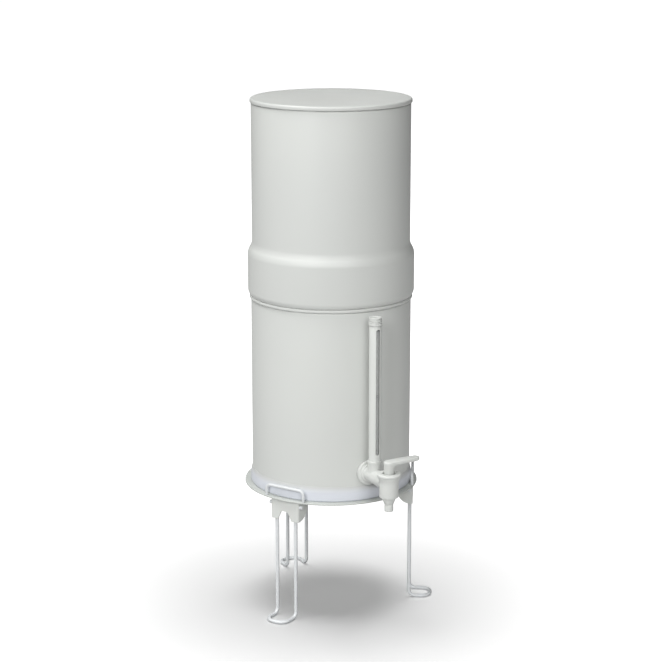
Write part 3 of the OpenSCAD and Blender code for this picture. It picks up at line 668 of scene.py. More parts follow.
class BentWire(Workpiece):
    """A round wire formed on a bender: straight runs and bends, with rounded ends."""

    facets: int = 24
    end_share: int = 12  # The ends' rounding is the wire's diameter divided by this.
    end_steps: int = 2
    step_angle: float = 9.0  # Degrees that a step of a bend takes.
    least_steps: int = 3

    def __init__(self, points: Sequence[Vector], bends: Sequence[float], wire_d: float) -> None:
        """Forms the wire.

        Args:
            points: the corners of its path in millimetres.
            bends: the bend radius at each corner, with zero at both ends.
            wire_d: the wire's diameter in millimetres.
        """
        super().__init__()
        headings = [(after - before).normalized() for before, after in zip(points, points[1:])]
        turn = Vector((0, 0, 1)).rotation_difference(headings[0]).to_matrix().to_4x4()
        ring = bmesh.ops.create_circle(
            self.bm, cap_ends=True, radius=wire_d / 2 * MM, segments=self.facets
        )["verts"]
        self.move(shift(*points[0]) @ turn, ring)
        self._open = list(self.bm.edges)
        for i, heading in enumerate(headings):
            length = (points[i + 1] - points[i]).length
            length -= self._trim(points, bends, i) + self._trim(points, bends, i + 1)
            self._run(heading * length)
            if i + 1 < len(headings):
                self._bend(points[i + 1], heading, headings[i + 1], bends[i + 1])
        bmesh.ops.contextual_create(self.bm, geom=self._open)
        self.face_out()
        ends = {edge for face in self.bm.faces if len(face.verts) == self.facets for edge in face.edges}
        self.soften(wire_d / self.end_share, self.end_steps, lambda edge: edge in ends)

    @staticmethod
    def _trim(points: Sequence[Vector], bends: Sequence[float], i: int) -> float:
        """Gives the length that the bend at a corner takes from each run.

        Args:
            points: the corners of the path in millimetres.
            bends: the bend radius at each corner.
            i: the corner's place among them.

        Returns:
            The length in millimetres, or zero at the wire's ends.
        """
        if i in (0, len(points) - 1):
            return 0.0
        turn = (points[i] - points[i - 1]).angle(points[i + 1] - points[i])
        return bends[i] * math.tan(turn / 2)

    def _run(self, step: Vector) -> None:
        """Draws the open end straight on by a step in millimetres."""
        grown = bmesh.ops.extrude_edge_only(self.bm, edges=self._open)["geom"]
        self.draw(grown, step * MM)
        self._open = [g for g in grown if isinstance(g, bmesh.types.BMEdge) and len(g.link_faces) == 1]

    def _bend(self, corner: Vector, into: Vector, out: Vector, radius: float) -> None:
        """Turns the open end through a bend.

        Args:
            corner: the path's corner in millimetres.
            into: the direction before the bend.
            out: the direction after it.
            radius: the bend radius in millimetres.
        """
        turn = into.angle(out)
        centre = corner + (out - into).normalized() * radius / math.cos(turn / 2)
        rim = list({v for edge in self._open for v in edge.verts})
        spun = bmesh.ops.spin(
            self.bm, geom=self._open + rim, cent=centre * MM, axis=into.cross(out).normalized(), angle=turn,
            steps=max(self.least_steps, round(math.degrees(turn) / self.step_angle)), use_merge=False,
        )["geom_last"]
        self._open = [g for g in spun if isinstance(g, bmesh.types.BMEdge)]


# Sub-assemblies


class Side(Enum):
    """Where a leg and its bracket stand, as the angle in degrees from the tap."""

    LEFT = -60.0
    RIGHT = 60.0
    REAR = 180.0

    @property
    def label(self) -> str:
        """The side's name as the CAD nodes spell it."""
        return self.name.lower()

    @property
    def turn(self) -> Matrix:
        """The turn that takes a piece from the tap's side to this one."""
        return Matrix.Rotation(math.radians(self.value), 4, "Z")


@dataclass
class Stand:
    """The ring, its hoops and the folding legs. Sizes in millimetres."""

    ring_r: float = 118.4
    ring_hole_r: float = 97.0
    ring_t: float = 2.0
    ring_hole_round: float = 0.4
    ring_low_round: float = 0.35
    ring_top_round: float = 0.7
    leg_r: float = 109.0
    leg_wire_d: float = 5.0
    leg_gap: float = 30.0
    bracket_w: float = 44.3
    pin_stub: float = 4.0
    hinge_drop: float = 7.5
    foot_reach: float = 29.3
    foot_bend: float = 12.5
    ankle_bend: float = 8.5
    hip_bend: float = 5.0
    hoop_wire_d: float = 4.0
    hoop_y: float = 112.4
    hoop_w: float = 59.0
    hoop_h: float = 15.0
    hoop_bend: float = 6.0

    def build(self) -> None:
        """Builds every piece of the stand."""
        self.ring()
        for side in Side:
            self.hoop(side)
            self.leg(side)

    def ring(self) -> None:
        """Turns the ring that the vessels stand on."""
        low = RING_TOP - self.ring_t
        # The ring takes the darker copy of the stand paint: painted shade.
        Turned([
            Corner(self.ring_hole_r, low, self.ring_hole_round),
            Corner(self.ring_r, low, self.ring_low_round),
            Corner(self.ring_r, RING_TOP, self.ring_top_round, steps=4),
            Corner(self.ring_hole_r, RING_TOP, self.ring_hole_round),
        ]).finish("stand_ring_turned", "stand", Slot.STAND, ["stand_ring"], SHADED_RING_FINISH)

    def hoop(self, side: Side) -> None:
        """Bends one retaining hoop.

        Args:
            side: where it stands.
        """
        x, y, low, top = self.hoop_w / 2, -self.hoop_y, RING_TOP, RING_TOP + self.hoop_h
        path = [Vector((-x, y, low)), Vector((-x, y, top)), Vector((x, y, top)), Vector((x, y, low))]
        wire = BentWire(path, [0, self.hoop_bend, self.hoop_bend, 0], self.hoop_wire_d)
        wire.move(side.turn).finish(
            f"hoop_wire_{side.label}", "stand", Slot.WIRE, [f"retaining_hoop_{side.label}"]
        )

    def leg(self, side: Side) -> None:
        """Bends one folding leg from a single wire.

        Args:
            side: where it stands.
        """
        hinge = RING_TOP - self.ring_t - self.hinge_drop
        pin, x = self.bracket_w / 2 + self.pin_stub, self.leg_gap / 2
        low, y, foot = self.leg_wire_d / 2, -self.leg_r, -self.leg_r - self.foot_reach
        half = [Vector((pin, y, hinge)), Vector((x, y, hinge)), Vector((x, y, low)), Vector((x, foot, low))]
        path = half + [Vector((-p.x, p.y, p.z)) for p in reversed(half)]
        bends = [0, self.hip_bend, self.ankle_bend, self.foot_bend]
        wire = BentWire(path, bends + bends[::-1], self.leg_wire_d)
        wire.move(side.turn).finish(
            f"leg_wire_{side.label}", f"leg_{side.label}", Slot.WIRE, [f"folding_leg_{side.label}"]
        )


@dataclass
class LowerVessel:
    """The lower vessel and the band round its foot. Sizes in millimetres."""

    radius: float = 108.0
    height: float = 259.6
    wall: float = 1.2
    foot_corner: float = 5.0
    foot_round: float = 2.0
    punt_r: float = 91.0
    punt_h: float = 7.5
    punt_slope: float = 5.0
    punt_round: float = 3.0
    groove_h: float = 6.2
    groove_depth: float = 0.9
    groove_drop: float = 0.3
    roll_h: float = 4.6
    roll_root: float = 0.2
    roll_out: float = 2.1
    roll_low_round: float = 1.85
    roll_top_round: float = 2.2
    rim_round: float = 0.5
    band_floor: float = 1.5
    band_h: float = 20.5
    band_t: float = 2.0
    band_lip_r: float = 98.0
    band_edge: float = 0.3
    band_taper: float = 7.0
    band_round: float = 14.0
    band_foot_w: float = 1.3
    band_foot_h: float = 1.69

    @property
    def base(self) -> float:
        """Height of the vessel's foot above the floor."""
        return RING_TOP + self.band_floor

    def build(self) -> None:
        """Builds the vessel and its band."""
        self.vessel()
        self.band()

    def vessel(self) -> None:
        """Turns the vessel with its raised base and its rolled bead over a groove."""
        base, rim = self.base, self.base + self.height
        foot, floor, punt = self.punt_r + self.punt_slope, base + self.wall, base + self.punt_h
        out, inner, under = self.radius + self.roll_out, self.radius - self.wall, rim - self.roll_h
        Turned([
            Corner(0, punt),
            Corner(self.punt_r, punt, self.punt_round, steps=4),
            Corner(foot, base, self.foot_round, steps=4),
            Corner(self.radius, base, self.foot_corner, steps=6),
            Corner(self.radius, rim - self.groove_h, fillet=0.3),
            Corner(self.radius - self.groove_depth, under - self.groove_drop),
            Corner(self.radius + self.roll_root, under),
            Corner(out, under, self.roll_low_round, steps=6),
            Corner(out, rim, self.roll_top_round, steps=6),
            Corner(inner, rim, self.rim_round, steps=3),
            Corner(inner, floor, self.foot_corner - self.wall, steps=6),
            Corner(foot, floor, self.foot_round, steps=4),
            Corner(self.punt_r, punt + self.wall, self.punt_round, steps=4),
            Corner(0, punt + self.wall),
        ]).finish("lower_vessel_pressing", "lower_vessel", Slot.VESSEL, ["lower_vessel"])

    def band(self) -> None:
        """Turns the plastic band."""
        out, top = self.radius + self.band_t, RING_TOP + self.band_h
        Turned([
            Corner(self.band_lip_r, RING_TOP, fillet=0.3),
            Corner(out - self.band_foot_w, RING_TOP, fillet=0.2),
            Corner(out, RING_TOP + self.band_foot_h, fillet=0.6, steps=3),
            Corner(out, top - self.band_taper, self.band_round, steps=5),
            Corner(self.radius + self.band_edge, top),
            Corner(self.radius, top, fillet=0.1, steps=1),
            Corner(self.radius, self.base, self.foot_corner, steps=6),
            Corner(self.band_lip_r, self.base, fillet=0.3),
        ]).finish("base_band_moulding", "lower_vessel", Slot.BAND, ["base_band"])


@dataclass
class UpperVessel:
    """The upper vessel and the lid. Sizes in millimetres, angles in degrees."""

    seat: float = 429.4
    height: float = 263.4
    radius: float = 106.4
    wall: float = 1.2
    belt_r: float = 112.2
    belt_h: float = 54.8
    flare_h: float = 18.6
    flare_share: float = 0.995
    belt_foot_r: float = 109.4
    belt_foot_round: float = 1.6
    belt_turn_h: float = 4.8
    belt_turn_r: float = 9.0
    neck_r: float = 105.8
    neck_corner: float = 4.0
    nest_depth: float = 18.0
    hole_r: float = 5.2
    hole_reach: float = 5.0
    hole_circle_r: float = 58.0
    hole_angles: tuple[float, ...] = (90.0, 210.0, 330.0)
    rim_turn: float = 3.0
    rim_lip: float = 1.2
    lid_h: float = 6.0
    lid_gap: float = 0.4
    lid_corner: float = 3.0
    lid_low_round: float = 1.14
    seam_h: float = 1.2
    seam_depth: float = 0.7
    seam_slope: float = 0.3

    @property
    def rim(self) -> float:
        """Height of the rim above the floor."""
        return self.seat + self.height

    def build(self) -> None:
        """Builds the vessel and the lid."""
        self.vessel()
        self.lid()

    def _flare(self, belt: float, straight: float) -> tuple[Corner, Corner]:
        """Gives the two rounded corners that draw the belt in to the wall.

        Args:
            belt: radius below the flare.
            straight: radius above it.

        Returns:
            The lower and the upper corner.
        """
        low, high = self.seat + self.belt_h, self.seat + self.belt_h + self.flare_h
        half_w, half_h = (belt - straight) / 2, self.flare_h / 2
        arc_r = (half_w**2 + half_h**2) / (2 * half_w)
        reach = arc_r * math.tan(math.asin(half_h / arc_r) / 2)
        fillet = arc_r * self.flare_share
        return Corner(belt, low + reach, fillet, steps=10), Corner(straight, high - reach, fillet, steps=10)

    def _hole(self, angle: float, floor: float) -> Workpiece:
        """Makes the bar that cuts a candle's hole.

        Args:
            angle: the hole's angle round the axis.
            floor: height of the floor that it goes through.

        Returns:
            The bar.
        """
        turn, far = math.radians(angle), self.hole_circle_r
        bar = Bar(self.hole_r, floor - self.hole_reach, floor + self.hole_reach, steps=32)
        return bar.move(shift(math.cos(turn) * far, math.sin(turn) * far, 0))

    def vessel(self) -> None:
        """Turns the vessel: floor, nesting neck, belt, flare and turned-in rim."""
        floor, wall, turn_h = self.seat - self.nest_depth, self.wall, self.seat + self.belt_turn_h
        neck_in, belt_in, inner = self.neck_r - wall, self.belt_r - wall, self.radius - wall
        lip = self.radius - self.rim_turn - self.rim_lip
        seam, seam_r = self.rim + wall - self.lid_h - self.seam_h, self.radius - self.seam_depth
        outer_low, outer_high = self._flare(self.belt_r, self.radius)
        inner_low, inner_high = self._flare(belt_in, inner)
        holes = [self._hole(angle, floor) for angle in self.hole_angles]
        Turned([
            Corner(0, floor),
            Corner(self.neck_r, floor, self.neck_corner, steps=6),
            Corner(self.neck_r, self.seat, fillet=0.1, steps=1),
            Corner(self.belt_foot_r, self.seat, self.belt_foot_round, steps=4),
            Corner(self.belt_r, turn_h, self.belt_turn_r, steps=8),
            outer_low,
            outer_high,
            Corner(self.radius, seam - self.seam_slope, fillet=0.3),
            Corner(seam_r, seam, fillet=0.2),
            Corner(seam_r, self.rim, self.rim_turn, steps=6),
            Corner(lip, self.rim, fillet=0.2),
            Corner(lip, self.rim - wall, fillet=0.2),
            Corner(inner, self.rim - wall, self.rim_turn - wall, steps=5),
            inner_high,
            inner_low,
            Corner(belt_in, turn_h + wall / 2, self.belt_turn_r, steps=8),
            Corner(self.belt_foot_r - wall / 2, self.seat + wall, fillet=0.6),
            Corner(neck_in, self.seat + wall, fillet=0.4),
            Corner(neck_in, floor + wall, self.neck_corner - wall, steps=6),
            Corner(0, floor + wall),
        ]).cut(*holes).finish("upper_vessel_pressing", "upper_vessel", Slot.VESSEL, ["upper_vessel"])

    def lid(self) -> None:
        """Turns the shallow pressed lid."""
        inner, top = self.radius + self.lid_gap, self.rim + self.wall
        radius, low = inner + self.wall, top - self.lid_h
        Turned([
            Corner(0, self.rim),
            Corner(inner, self.rim, self.lid_corner - self.wall, steps=6),
            Corner(inner, low),
            Corner(radius, low, self.lid_low_round, steps=5),
            Corner(radius, top, self.lid_corner, steps=8),
            Corner(0, top),
        ]).finish("lid_pressing", "lid", Slot.VESSEL, ["lid"])


@dataclass
class Tap:
    """The tap: tee, valve, lever and level gauge.

    Sizes in millimetres, heights from the ring's top, distances from the vessels' axis, angles in degrees.
    """

    steps: int = 96
    play: float = 0.05
    overcut: float = 1.0
    inlet: float = 38.5
    valve_y: float = 167.4
    gauge_y: float = 127.8
    pipe_r: float = 10.2
    bore_r: float = 4.5
    shank_r: float = 9.5
    shank_from: float = 89.8
    flange_back: float = 110.3
    flange_r: float = 17.0
    flange_t: float = 3.4
    flange_round: float = 1.5
    step_r: float = 13.0
    step_t: float = 2.4
    joint_y: float = 147.0
    socket_r: float = 9.2
    socket_top: float = 60.0
    collar_r: float = 9.7
    collar_h: float = 3.0
    guard_r: float = 8.2
    guard_t: float = 1.2
    guard_low: float = 49.0
    guard_top: float = 247.0
    relief: float = 0.8
    relief_h: float = 1.3
    relief_into_cap: float = 0.5
    slot_w: float = 5.7
    slot_low: float = 68.3
    slot_top: float = 238.3
    slot_cut: float = 20.0
    cap_r: float = 8.9
    cap_h: float = 10.5
    cap_overlap: float = 4.0
    cap_head_r: float = 8.4
    cap_head_round: float = 0.8
    cap_groove: float = 0.8
    cap_groove_w: float = 1.0
    cap_groove_low: float = 2.4
    cap_groove_mid: float = 4.8
    cap_groove_top: float = 7.7
    cap_rim_w: float = 1.7
    cap_dish: float = 0.9
    barrel_r: float = 12.6
    barrel_low: float = 21.3
    barrel_top_r: float = 15.3
    barrel_flare: float = 9.5
    barrel_bend_h: float = 3.8
    barrel_bend_r: float = 16.0
    cone_r: float = 9.3
    cone_low: float = 10.6
    cone_foot: float = 0.3
    cone_foot_h: float = 1.4
    cone_ring_h: float = 1.6
    cone_groove_w: float = 0.4
    spout_groove: float = 0.7
    spout_groove_from: float = 0.2
    spout_groove_to: float = 1.0
    spout_r: float = 5.9
    spout_bore: float = 4.0
    spout_low: float = 1.8
    port_r: float = 3.3
    port_end: float = 9.5
    spigot_r: float = 7.4
    spigot_l: float = 8.0
    bonnet_low: float = 49.2
    bonnet_h: float = 4.2
    bonnet_r: float = 16.0
    bonnet_low_round: float = 1.6
    bonnet_top_round: float = 1.5
    recess_r: float = 8.4
    recess_depth: float = 2.0
    neck_r: float = 10.0
    neck_h: float = 1.2
    chamber_r: float = 7.51
    plug_low: float = 24.1
    hub_r: float = 6.0
    hub_play: float = 0.06
    hub_sink: float = 1.5
    collar_hub_r: float = 7.0
    collar_lift: float = 0.15
    web_r: float = 6.9
    web_reach: float = 8.0
    web_h: float = 6.5
    web_sink: float = 1.2
    web_steps: int = 6
    lever_len: float = 44.3
    lever_w: float = 12.6
    lever_root_r: float = 7.2
    lever_t: float = 5.4
    lever_top: float = 69.9
    lever_rise: float = 1.5
    lever_round: float = 1.9
    lever_steps: int = 5
    lever_edge_angle: float = 60.0
    float_low: float = 46.6
    float_top: float = 148.0
    float_steps: int = 48
    bulb_r: float = 3.8
    bulb_h: float = 18.0
    bulb_round: float = 1.8
    rod_r: float = 1.5
    tip_h: float = 2.4
    tip_r: float = 4.8

    @property
    def at_valve(self) -> Matrix:
        """The place of the valve's axis at the ring's height."""
        return shift(0, -self.valve_y, RING_TOP)

    @property
    def at_gauge(self) -> Matrix:
        """The place of the gauge's axis at the ring's height."""
        return shift(0, -self.gauge_y, RING_TOP)

    @property
    def along_tap(self) -> Matrix:
        """The turn and move that lay a piece's axis outward through the inlet."""
        return shift(0, 0, RING_TOP + self.inlet) @ Matrix.Rotation(math.pi / 2, 4, "X")

    def build(self) -> None:
        """Builds every piece of the tap that has its own mesh here."""
        self.tee()
        self.guard()
        self.cap()
        self.barrel()
        self.bonnet()
        self.lever()
        self.level()

    def tee(self) -> None:
        """Makes the casting that joins the shank, the pipe and the gauge's socket."""
        front = self.flange_back + self.flange_t
        step, collar_low = front + self.step_t, self.socket_top - self.collar_h
        pipe = Turned([
            Corner(0, self.shank_from),
            Corner(self.shank_r, self.shank_from, fillet=0.8),
            Corner(self.shank_r, self.flange_back),
            Corner(self.flange_r, self.flange_back, fillet=0.9, steps=3),
            Corner(self.flange_r, front, self.flange_round, steps=5),
            Corner(self.step_r, front, fillet=0.4),
            Corner(self.step_r, step, fillet=0.9, steps=4),
            Corner(self.pipe_r, step, fillet=1.2, steps=4),
            Corner(self.pipe_r, self.joint_y, fillet=0.3),
            Corner(0, self.joint_y),
        ], self.steps).move(self.along_tap)
        socket = Turned([
            Corner(0, self.inlet),
            Corner(self.socket_r, self.inlet),
            Corner(self.socket_r, collar_low, fillet=0.3),
            Corner(self.collar_r, collar_low, fillet=0.4, steps=3),
            Corner(self.collar_r, self.socket_top, fillet=0.7, steps=4),
            Corner(0, self.socket_top),
        ], self.steps).move(self.at_gauge)
        water = Bar(self.bore_r, self.shank_from - self.overcut, self.joint_y + self.overcut)
        seat = Bar(self.guard_r + self.play, self.guard_low, self.socket_top + self.overcut)
        pipe.merge(socket).cut(water.move(self.along_tap), seat.move(self.at_gauge)).finish(
            "tee_casting", "lower_vessel", Slot.TAP, ["tap_tee"]
        )

    def guard(self) -> None:
        """Makes the slotted guard tube."""
        end_r = self.slot_w / 2
        slot = Plate(end_r, end_r, self.slot_top - self.slot_low - self.slot_w, self.slot_cut)
        upright = Matrix.Rotation(math.pi / 2, 4, "Z") @ Matrix.Rotation(-math.pi / 2, 4, "Y")
        slot.move(self.at_gauge @ shift(0, 0, self.slot_low + end_r) @ upright)
        cap_low, relief_r = self.guard_top - self.cap_overlap, self.guard_r - self.relief
        relief_top = cap_low + self.relief_into_cap
        Turned([
            Corner(self.guard_r, self.guard_low),
            Corner(self.guard_r, cap_low - self.relief_h, fillet=0.2),
            Corner(relief_r, cap_low - self.relief_h),
            Corner(relief_r, relief_top),
            Corner(self.guard_r, relief_top),
            Corner(self.guard_r, self.guard_top),
            Corner(self.guard_r - self.guard_t, self.guard_top),
            Corner(self.guard_r - self.guard_t, self.guard_low),
        ], self.steps).move(self.at_gauge).cut(slot).finish(
            "gauge_guard_tube", "lower_vessel", Slot.TAP, ["gauge_guard"]
        )

    def cap(self) -> None:
        """Turns the gauge's cap: a wide ring, a head with a dished top, and three grooves."""
        low, bore = self.guard_top - self.cap_overlap, self.guard_r + self.play
        top = low + self.cap_h
        dish, dish_r = top - self.cap_dish, self.cap_head_r - self.cap_rim_w
        grooves = []
        for groove_h, under_r, over_r in (
            (self.cap_groove_low, self.cap_r, self.cap_r),
            (self.cap_groove_mid, self.cap_r, self.cap_head_r),
            (self.cap_groove_top, self.cap_head_r, self.cap_head_r),
        ):
            under, over = low + groove_h, low + groove_h + self.cap_groove_w
            root = over_r - self.cap_groove
            grooves += [
                Corner(under_r, under, fillet=0.15), Corner(root, under),
                Corner(root, over), Corner(over_r, over, fillet=0.15),
            ]
        Turned([
            Corner(bore, self.guard_top),
            Corner(bore, low),
            Corner(self.cap_r, low, fillet=0.15),
            *grooves,
            Corner(self.cap_head_r, top, self.cap_head_round, steps=5),
            Corner(dish_r, top, fillet=0.6, steps=3),
            Corner(dish_r - self.cap_dish, dish, fillet=0.6, steps=3),
            Corner(0, dish),
            Corner(0, self.guard_top),
        ], self.steps).move(self.at_gauge).finish(
            "gauge_cap_turned", "lower_vessel", Slot.TAP, ["gauge_cap"]
        )

    def barrel(self) -> None:
        """Makes the valve's barrel with its inlet, cone and spout."""
        flare_low, neck_top = self.bonnet_low - self.barrel_flare, self.bonnet_low + self.neck_h
        spout_root, cone_root = self.spout_r - self.spout_groove, self.cone_r - self.spout_groove
        spigot_y, port_y = self.joint_y - self.spigot_l, self.valve_y - self.port_end
        barrel = Turned([
            Corner(self.spout_bore, self.spout_low, fillet=0.3),
            Corner(self.spout_r, self.spout_low, fillet=1.0, steps=4),
            Corner(self.spout_r, self.cone_low, fillet=0.5, steps=3),
            Corner(spout_root, self.cone_low + self.spout_groove_from),
            Corner(spout_root, self.cone_low + self.spout_groove_to),
            Corner(self.spout_r + self.cone_foot, self.cone_low + self.cone_foot_h, fillet=0.3),
            Corner(self.cone_r, self.barrel_low - self.cone_ring_h, fillet=1.0, steps=3),
            Corner(cone_root, self.barrel_low - self.cone_groove_w),
            Corner(cone_root, self.barrel_low),
            Corner(self.barrel_r, self.barrel_low, fillet=0.5, steps=3),
            Corner(self.barrel_r, flare_low + self.barrel_bend_h, self.barrel_bend_r, steps=8),
            Corner(self.barrel_top_r, self.bonnet_low, fillet=0.2),
            Corner(self.neck_r, self.bonnet_low),
            Corner(self.neck_r, neck_top),
            Corner(self.chamber_r, neck_top),
            Corner(self.chamber_r, self.plug_low),
            Corner(self.spout_bore, self.plug_low),
        ], self.steps).move(self.at_valve)
        inlet = Turned([
            Corner(self.port_r, spigot_y, fillet=0.2),
            Corner(self.spigot_r, spigot_y, fillet=0.4),
            Corner(self.spigot_r, self.joint_y),
            Corner(self.pipe_r, self.joint_y, fillet=0.5, steps=3),
            Corner(self.pipe_r, port_y),
            Corner(self.port_r, port_y),
        ], self.steps).move(self.along_tap)
        barrel.merge(inlet).finish("valve_barrel_casting", "lower_vessel", Slot.TAP, ["valve_barrel"])

    def bonnet(self) -> None:
        """Turns the bonnet's lip with the recess round the lever's hub."""
        low, top = self.bonnet_low, self.bonnet_low + self.bonnet_h
        hole, neck, recess = self.hub_r + self.hub_play, self.neck_r + self.play, top - self.recess_depth
        Turned([
            Corner(neck, low),
            Corner(self.bonnet_r, low, self.bonnet_low_round, steps=5),
            Corner(self.bonnet_r, top, self.bonnet_top_round, steps=6),
            Corner(self.recess_r, top, fillet=0.9, steps=4),
            Corner(self.recess_r, recess, fillet=0.2),
            Corner(hole, recess),
            Corner(hole, low + self.neck_h),
            Corner(neck, low + self.neck_h),
        ], self.steps).move(self.at_valve).finish("bonnet_turned", "lower_vessel", Slot.TAP, ["valve_bonnet"])

    def lever(self) -> None:
        """Makes the lever: a rounded paddle that rises to its tip, on a flared hub."""
        tip_r, low = self.lever_w / 2, self.lever_top - self.lever_t
        edge_angle = math.radians(self.lever_edge_angle)
        blade = Plate(self.lever_root_r, tip_r, self.lever_len - tip_r, self.lever_t)
        blade.soften(self.lever_round, self.lever_steps, lambda edge: edge.calc_face_angle(0.0) > edge_angle)
        lean = Matrix.Identity(4)
        lean[2][0] = self.lever_rise / (self.lever_len + self.lever_root_r)
        blade.move(shift(0, 0, low) @ lean)
        hub_low = self.bonnet_low + self.neck_h + self.play
        collar_low = self.bonnet_low + self.bonnet_h - self.recess_depth + self.collar_lift
        hub = Turned([
            Corner(0, hub_low),
            Corner(self.hub_r, hub_low, fillet=0.3),
            Corner(self.hub_r, collar_low),
            Corner(self.collar_hub_r, collar_low, fillet=0.3),
            Corner(self.collar_hub_r, low + self.hub_sink),
            Corner(0, low + self.hub_sink),
        ], steps=64)
        web = Plate(self.web_r, self.web_r, self.web_reach, self.web_h)
        web.hollow_under(self.web_reach, self.web_h, self.web_steps)
        web.move(shift(0, 0, low + self.web_sink - self.web_h))
        blade.merge(hub, web).move(self.at_valve).finish("lever_paddle", "tap_lever", Slot.TAP, ["tap_lever"])

    def level(self) -> None:
        """Turns the float with its grey rod, and the dark tip that marks the level."""
        tip_low, bulb_top = self.float_top - self.tip_h, self.float_low + self.bulb_h
        Turned([
            Corner(0, self.float_low),
            Corner(self.bulb_r, self.float_low, self.bulb_round, steps=5),
            Corner(self.bulb_r, bulb_top, self.bulb_round, steps=5),
            Corner(self.rod_r, bulb_top, fillet=0.6, steps=3),
            Corner(self.rod_r, tip_low),
            Corner(0, tip_low),
        ], self.float_steps).move(self.at_gauge).finish(
            "float_rod", "level_float", Slot.FLOAT, ["level_float"], ROD_FINISH
        )
        Turned([
            Corner(0, tip_low),
            Corner(self.tip_r, tip_low, fillet=0.4, steps=3),
            Corner(self.tip_r, self.float_top, fillet=0.6, steps=3),
            Corner(0, self.float_top),
        ], self.float_steps).move(self.at_gauge).finish("float_tip", "level_float", Slot.FLOAT, [])


@dataclass
class CarriedOver:
    """The CAD nodes that keep their own shape and get a finish.

    The shank nut, valve plug, candle bases and wing nuts keep the frame's own plastic as well.
    """

    nodes: dict[Slot, list[str]] = field(default_factory=lambda: {
        Slot.STAND: [f"leg_bracket_{side.label}" for side in Side],
        Slot.SEAL: [
            "outer_gasket", "inner_gasket", "lower_gauge_seal", "upper_gauge_seal", "plug_seals",
            "upper_washers", "lower_washers",
        ],
        Slot.CLEAR: ["sight_tube"],
        Slot.CERAMIC: [f"filter_candle_{i}" for i in (1, 2, 3)],
    })

    def dress(self) -> None:
        """Gives each carried-over node its finish."""
        for slot, names in self.nodes.items():
            material = FINISHES[slot].material()
            for name in names:
                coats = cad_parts[name].data.materials
                if not coats:
                    coats.append(material)
                for i in range(len(coats)):
                    coats[i] = material
                LOG.info("%s: CAD mesh in %s", name, material.name)


# Studio


@dataclass(frozen=True)
class Lamp:
    """A soft square lamp that faces the object.

    Attributes:
        name: the lamp's name.
        azimuth: its direction from the object, in degrees.
        distance: its level distance in metres.
        height: its height above the floor.
        size: its side length.
        power: its power in watts.
        mirrored: whether it shows in reflections.
    """

    name: str
    azimuth: float
    distance: float
    height: float
    size: float
    power: float
    mirrored: bool = True


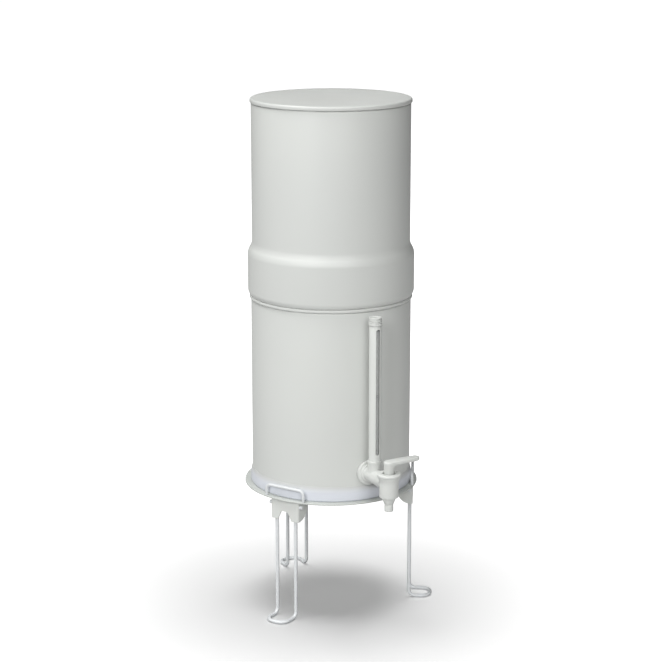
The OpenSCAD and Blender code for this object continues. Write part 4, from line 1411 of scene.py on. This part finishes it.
@dataclass
class Studio:
    """Camera, floor and lights. Lengths in metres, angles in degrees."""

    camera_azimuth: float = -26.8
    camera_distance: float = 2.5
    camera_height: float = 0.984
    aim_height: float = 0.4351
    lens: float = 102.9
    sensor: float = 36.0
    view_shift: float = -0.065
    floor_size: float = 60.0
    floor_albedo: float = 0.97
    floor_roughness: float = 0.95
    # Glow near the object; kept low, it paints shadow round the object's foot.
    shadow_glow: float = 0.26
    glow_from: float = 0.1
    glow_to: float = 0.75
    ambient: float = 0.03
    lamp_aim: float = 0.4
    object_lamps: tuple[Lamp, ...] = (
        Lamp("rear", azimuth=150.0, distance=9.6, height=2.4, size=4.5, power=260.0, mirrored=False),
        Lamp("key", azimuth=-57.0, distance=9.6, height=5.5, size=4.5, power=600.0),
        Lamp("crown", azimuth=-117.0, distance=5.0, height=10.2, size=4.5, power=745.0),
        Lamp("fill", azimuth=-12.0, distance=9.3, height=5.8, size=5.5, power=470.0),
        Lamp("top", azimuth=-12.0, distance=2.9, height=11.0, size=5.0, power=95.0),
    )
    floor_lamp: Lamp = Lamp("above_floor", azimuth=153.0, distance=0.4, height=5.0, size=3.2, power=180.0)

    def build(self) -> None:
        """Sets up the whole studio."""
        self.camera()
        floor = self.floor()
        self.world()
        self.lamps("lit_object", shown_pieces(), self.object_lamps)
        self.lamps("lit_floor", [floor], [self.floor_lamp])
        bpy.context.scene.view_settings.view_transform = "Standard"

    @staticmethod
    def _place(item: bpy.types.Object, azimuth: float, distance: float, height: float, aim: float) -> None:
        """Puts a camera or lamp in its place, facing the object.

        Args:
            item: the camera or lamp.
            azimuth: its direction from the object.
            distance: its level distance.
            height: its height above the floor.
            aim: height of the point that it faces.
        """
        bpy.context.scene.collection.objects.link(item)
        angle = math.radians(azimuth)
        item.location = Vector((math.sin(angle), -math.cos(angle), 0.0)) * distance
        item.location.z = height
        heading = Vector((0, 0, aim)) - item.location
        item.rotation_euler = heading.to_track_quat("-Z", "Y").to_euler()

    def camera(self) -> None:
        """Places the camera at the photograph's view."""
        data = bpy.data.cameras.new("camera")
        data.lens = self.lens
        data.sensor_width = self.sensor
        data.shift_y = self.view_shift
        item = bpy.data.objects.new("camera", data)
        self._place(item, self.camera_azimuth, self.camera_distance, self.camera_height, self.aim_height)
        bpy.context.scene.camera = item

    def floor(self) -> bpy.types.Object:
        """Lays a white floor that keeps the object's cast shadow, with painted shadow near it from a weaker
        glow.

        Returns:
            The floor.
        """
        bm = bmesh.new()
        bmesh.ops.create_grid(bm, x_segments=2, y_segments=2, size=self.floor_size / 2)
        mesh = bpy.data.meshes.new("studio_floor")
        bm.to_mesh(mesh)
        bm.free()
        item = bpy.data.objects.new("studio_floor", mesh)
        bpy.context.scene.collection.objects.link(item)
        mesh.materials.append(self._floor_material())
        item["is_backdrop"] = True
        return item

    def _floor_material(self) -> bpy.types.Material:
        """Makes the floor's white, which glows where it is seen; the glow is weaker near the object, a
        painted shadow round its foot.

        Returns:
            The material.
        """
        material = bpy.data.materials.new("floor_white")
        material.use_nodes = True
        tree = Wiring(material.node_tree)
        shader = tree.set(material.node_tree.nodes["Principled BSDF"], {
            "Base Color": (self.floor_albedo, self.floor_albedo, self.floor_albedo, 1.0),
            "Roughness": self.floor_roughness,
            "Specular IOR Level": 0.0,
            "Emission Color": WHITE,
        })
        place = tree.add("ShaderNodeTexCoord")
        reach = tree.add("ShaderNodeVectorMath", operation="LENGTH")
        # Painted shadow: the glow rises from its low level near the object to full white further out.
        spread = tree.add("ShaderNodeMapRange", {
            "From Min": self.glow_from, "From Max": self.glow_to, "To Min": self.shadow_glow, "To Max": 1.0,
        }, interpolation_type="SMOOTHSTEP")
        glow = tree.add("ShaderNodeMath", operation="MULTIPLY")
        tree.link(
            (place, "Object", reach, 0),
            (reach, "Value", spread, "Value"),
            (tree.seen(), 0, glow, 0),
            (spread, "Result", glow, 1),
            (glow, 0, shader, "Emission Strength"),
        )
        return material

    def world(self) -> None:
        """Lights the object evenly, and shows white behind it."""
        world = bpy.data.worlds.new("studio_world")
        bpy.context.scene.world = world
        world.use_nodes = True
        tree = Wiring(world.node_tree)
        back = tree.set(world.node_tree.nodes["Background"], {"Color": WHITE})
        level = tree.add("ShaderNodeMapRange", {"To Min": self.ambient, "To Max": 1.0})
        tree.link((tree.seen(), 0, level, "Value"), (level, "Result", back, "Strength"))

    def lamps(self, name: str, targets: Iterable[bpy.types.Object], lamps: Iterable[Lamp]) -> None:
        """Places lamps that light some objects alone.

        Args:
            name: the name of the collection of those objects.
            targets: the objects.
            lamps: the lamps.
        """
        lit = bpy.data.collections.new(name)
        for target in targets:
            lit.objects.link(target)
        for lamp in lamps:
            data = bpy.data.lights.new(lamp.name, "AREA")
            data.shape = "SQUARE"
            data.size = lamp.size
            data.energy = lamp.power
            item = bpy.data.objects.new(lamp.name, data)
            self._place(item, lamp.azimuth, lamp.distance, lamp.height, self.lamp_aim)
            item.visible_glossy = lamp.mirrored
            item.light_linking.receiver_collection = lit


def main() -> None:
    """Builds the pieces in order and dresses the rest."""
    logging.basicConfig(level=logging.INFO, format="%(message)s")
    for assembly in (Stand(), LowerVessel(), UpperVessel(), Tap()):
        LOG.info("%s", type(assembly).__name__)
        assembly.build()
    CarriedOver().dress()
    Studio().build()
    bpy.context.view_layer.update()


if __name__ == "__main__":
    main()
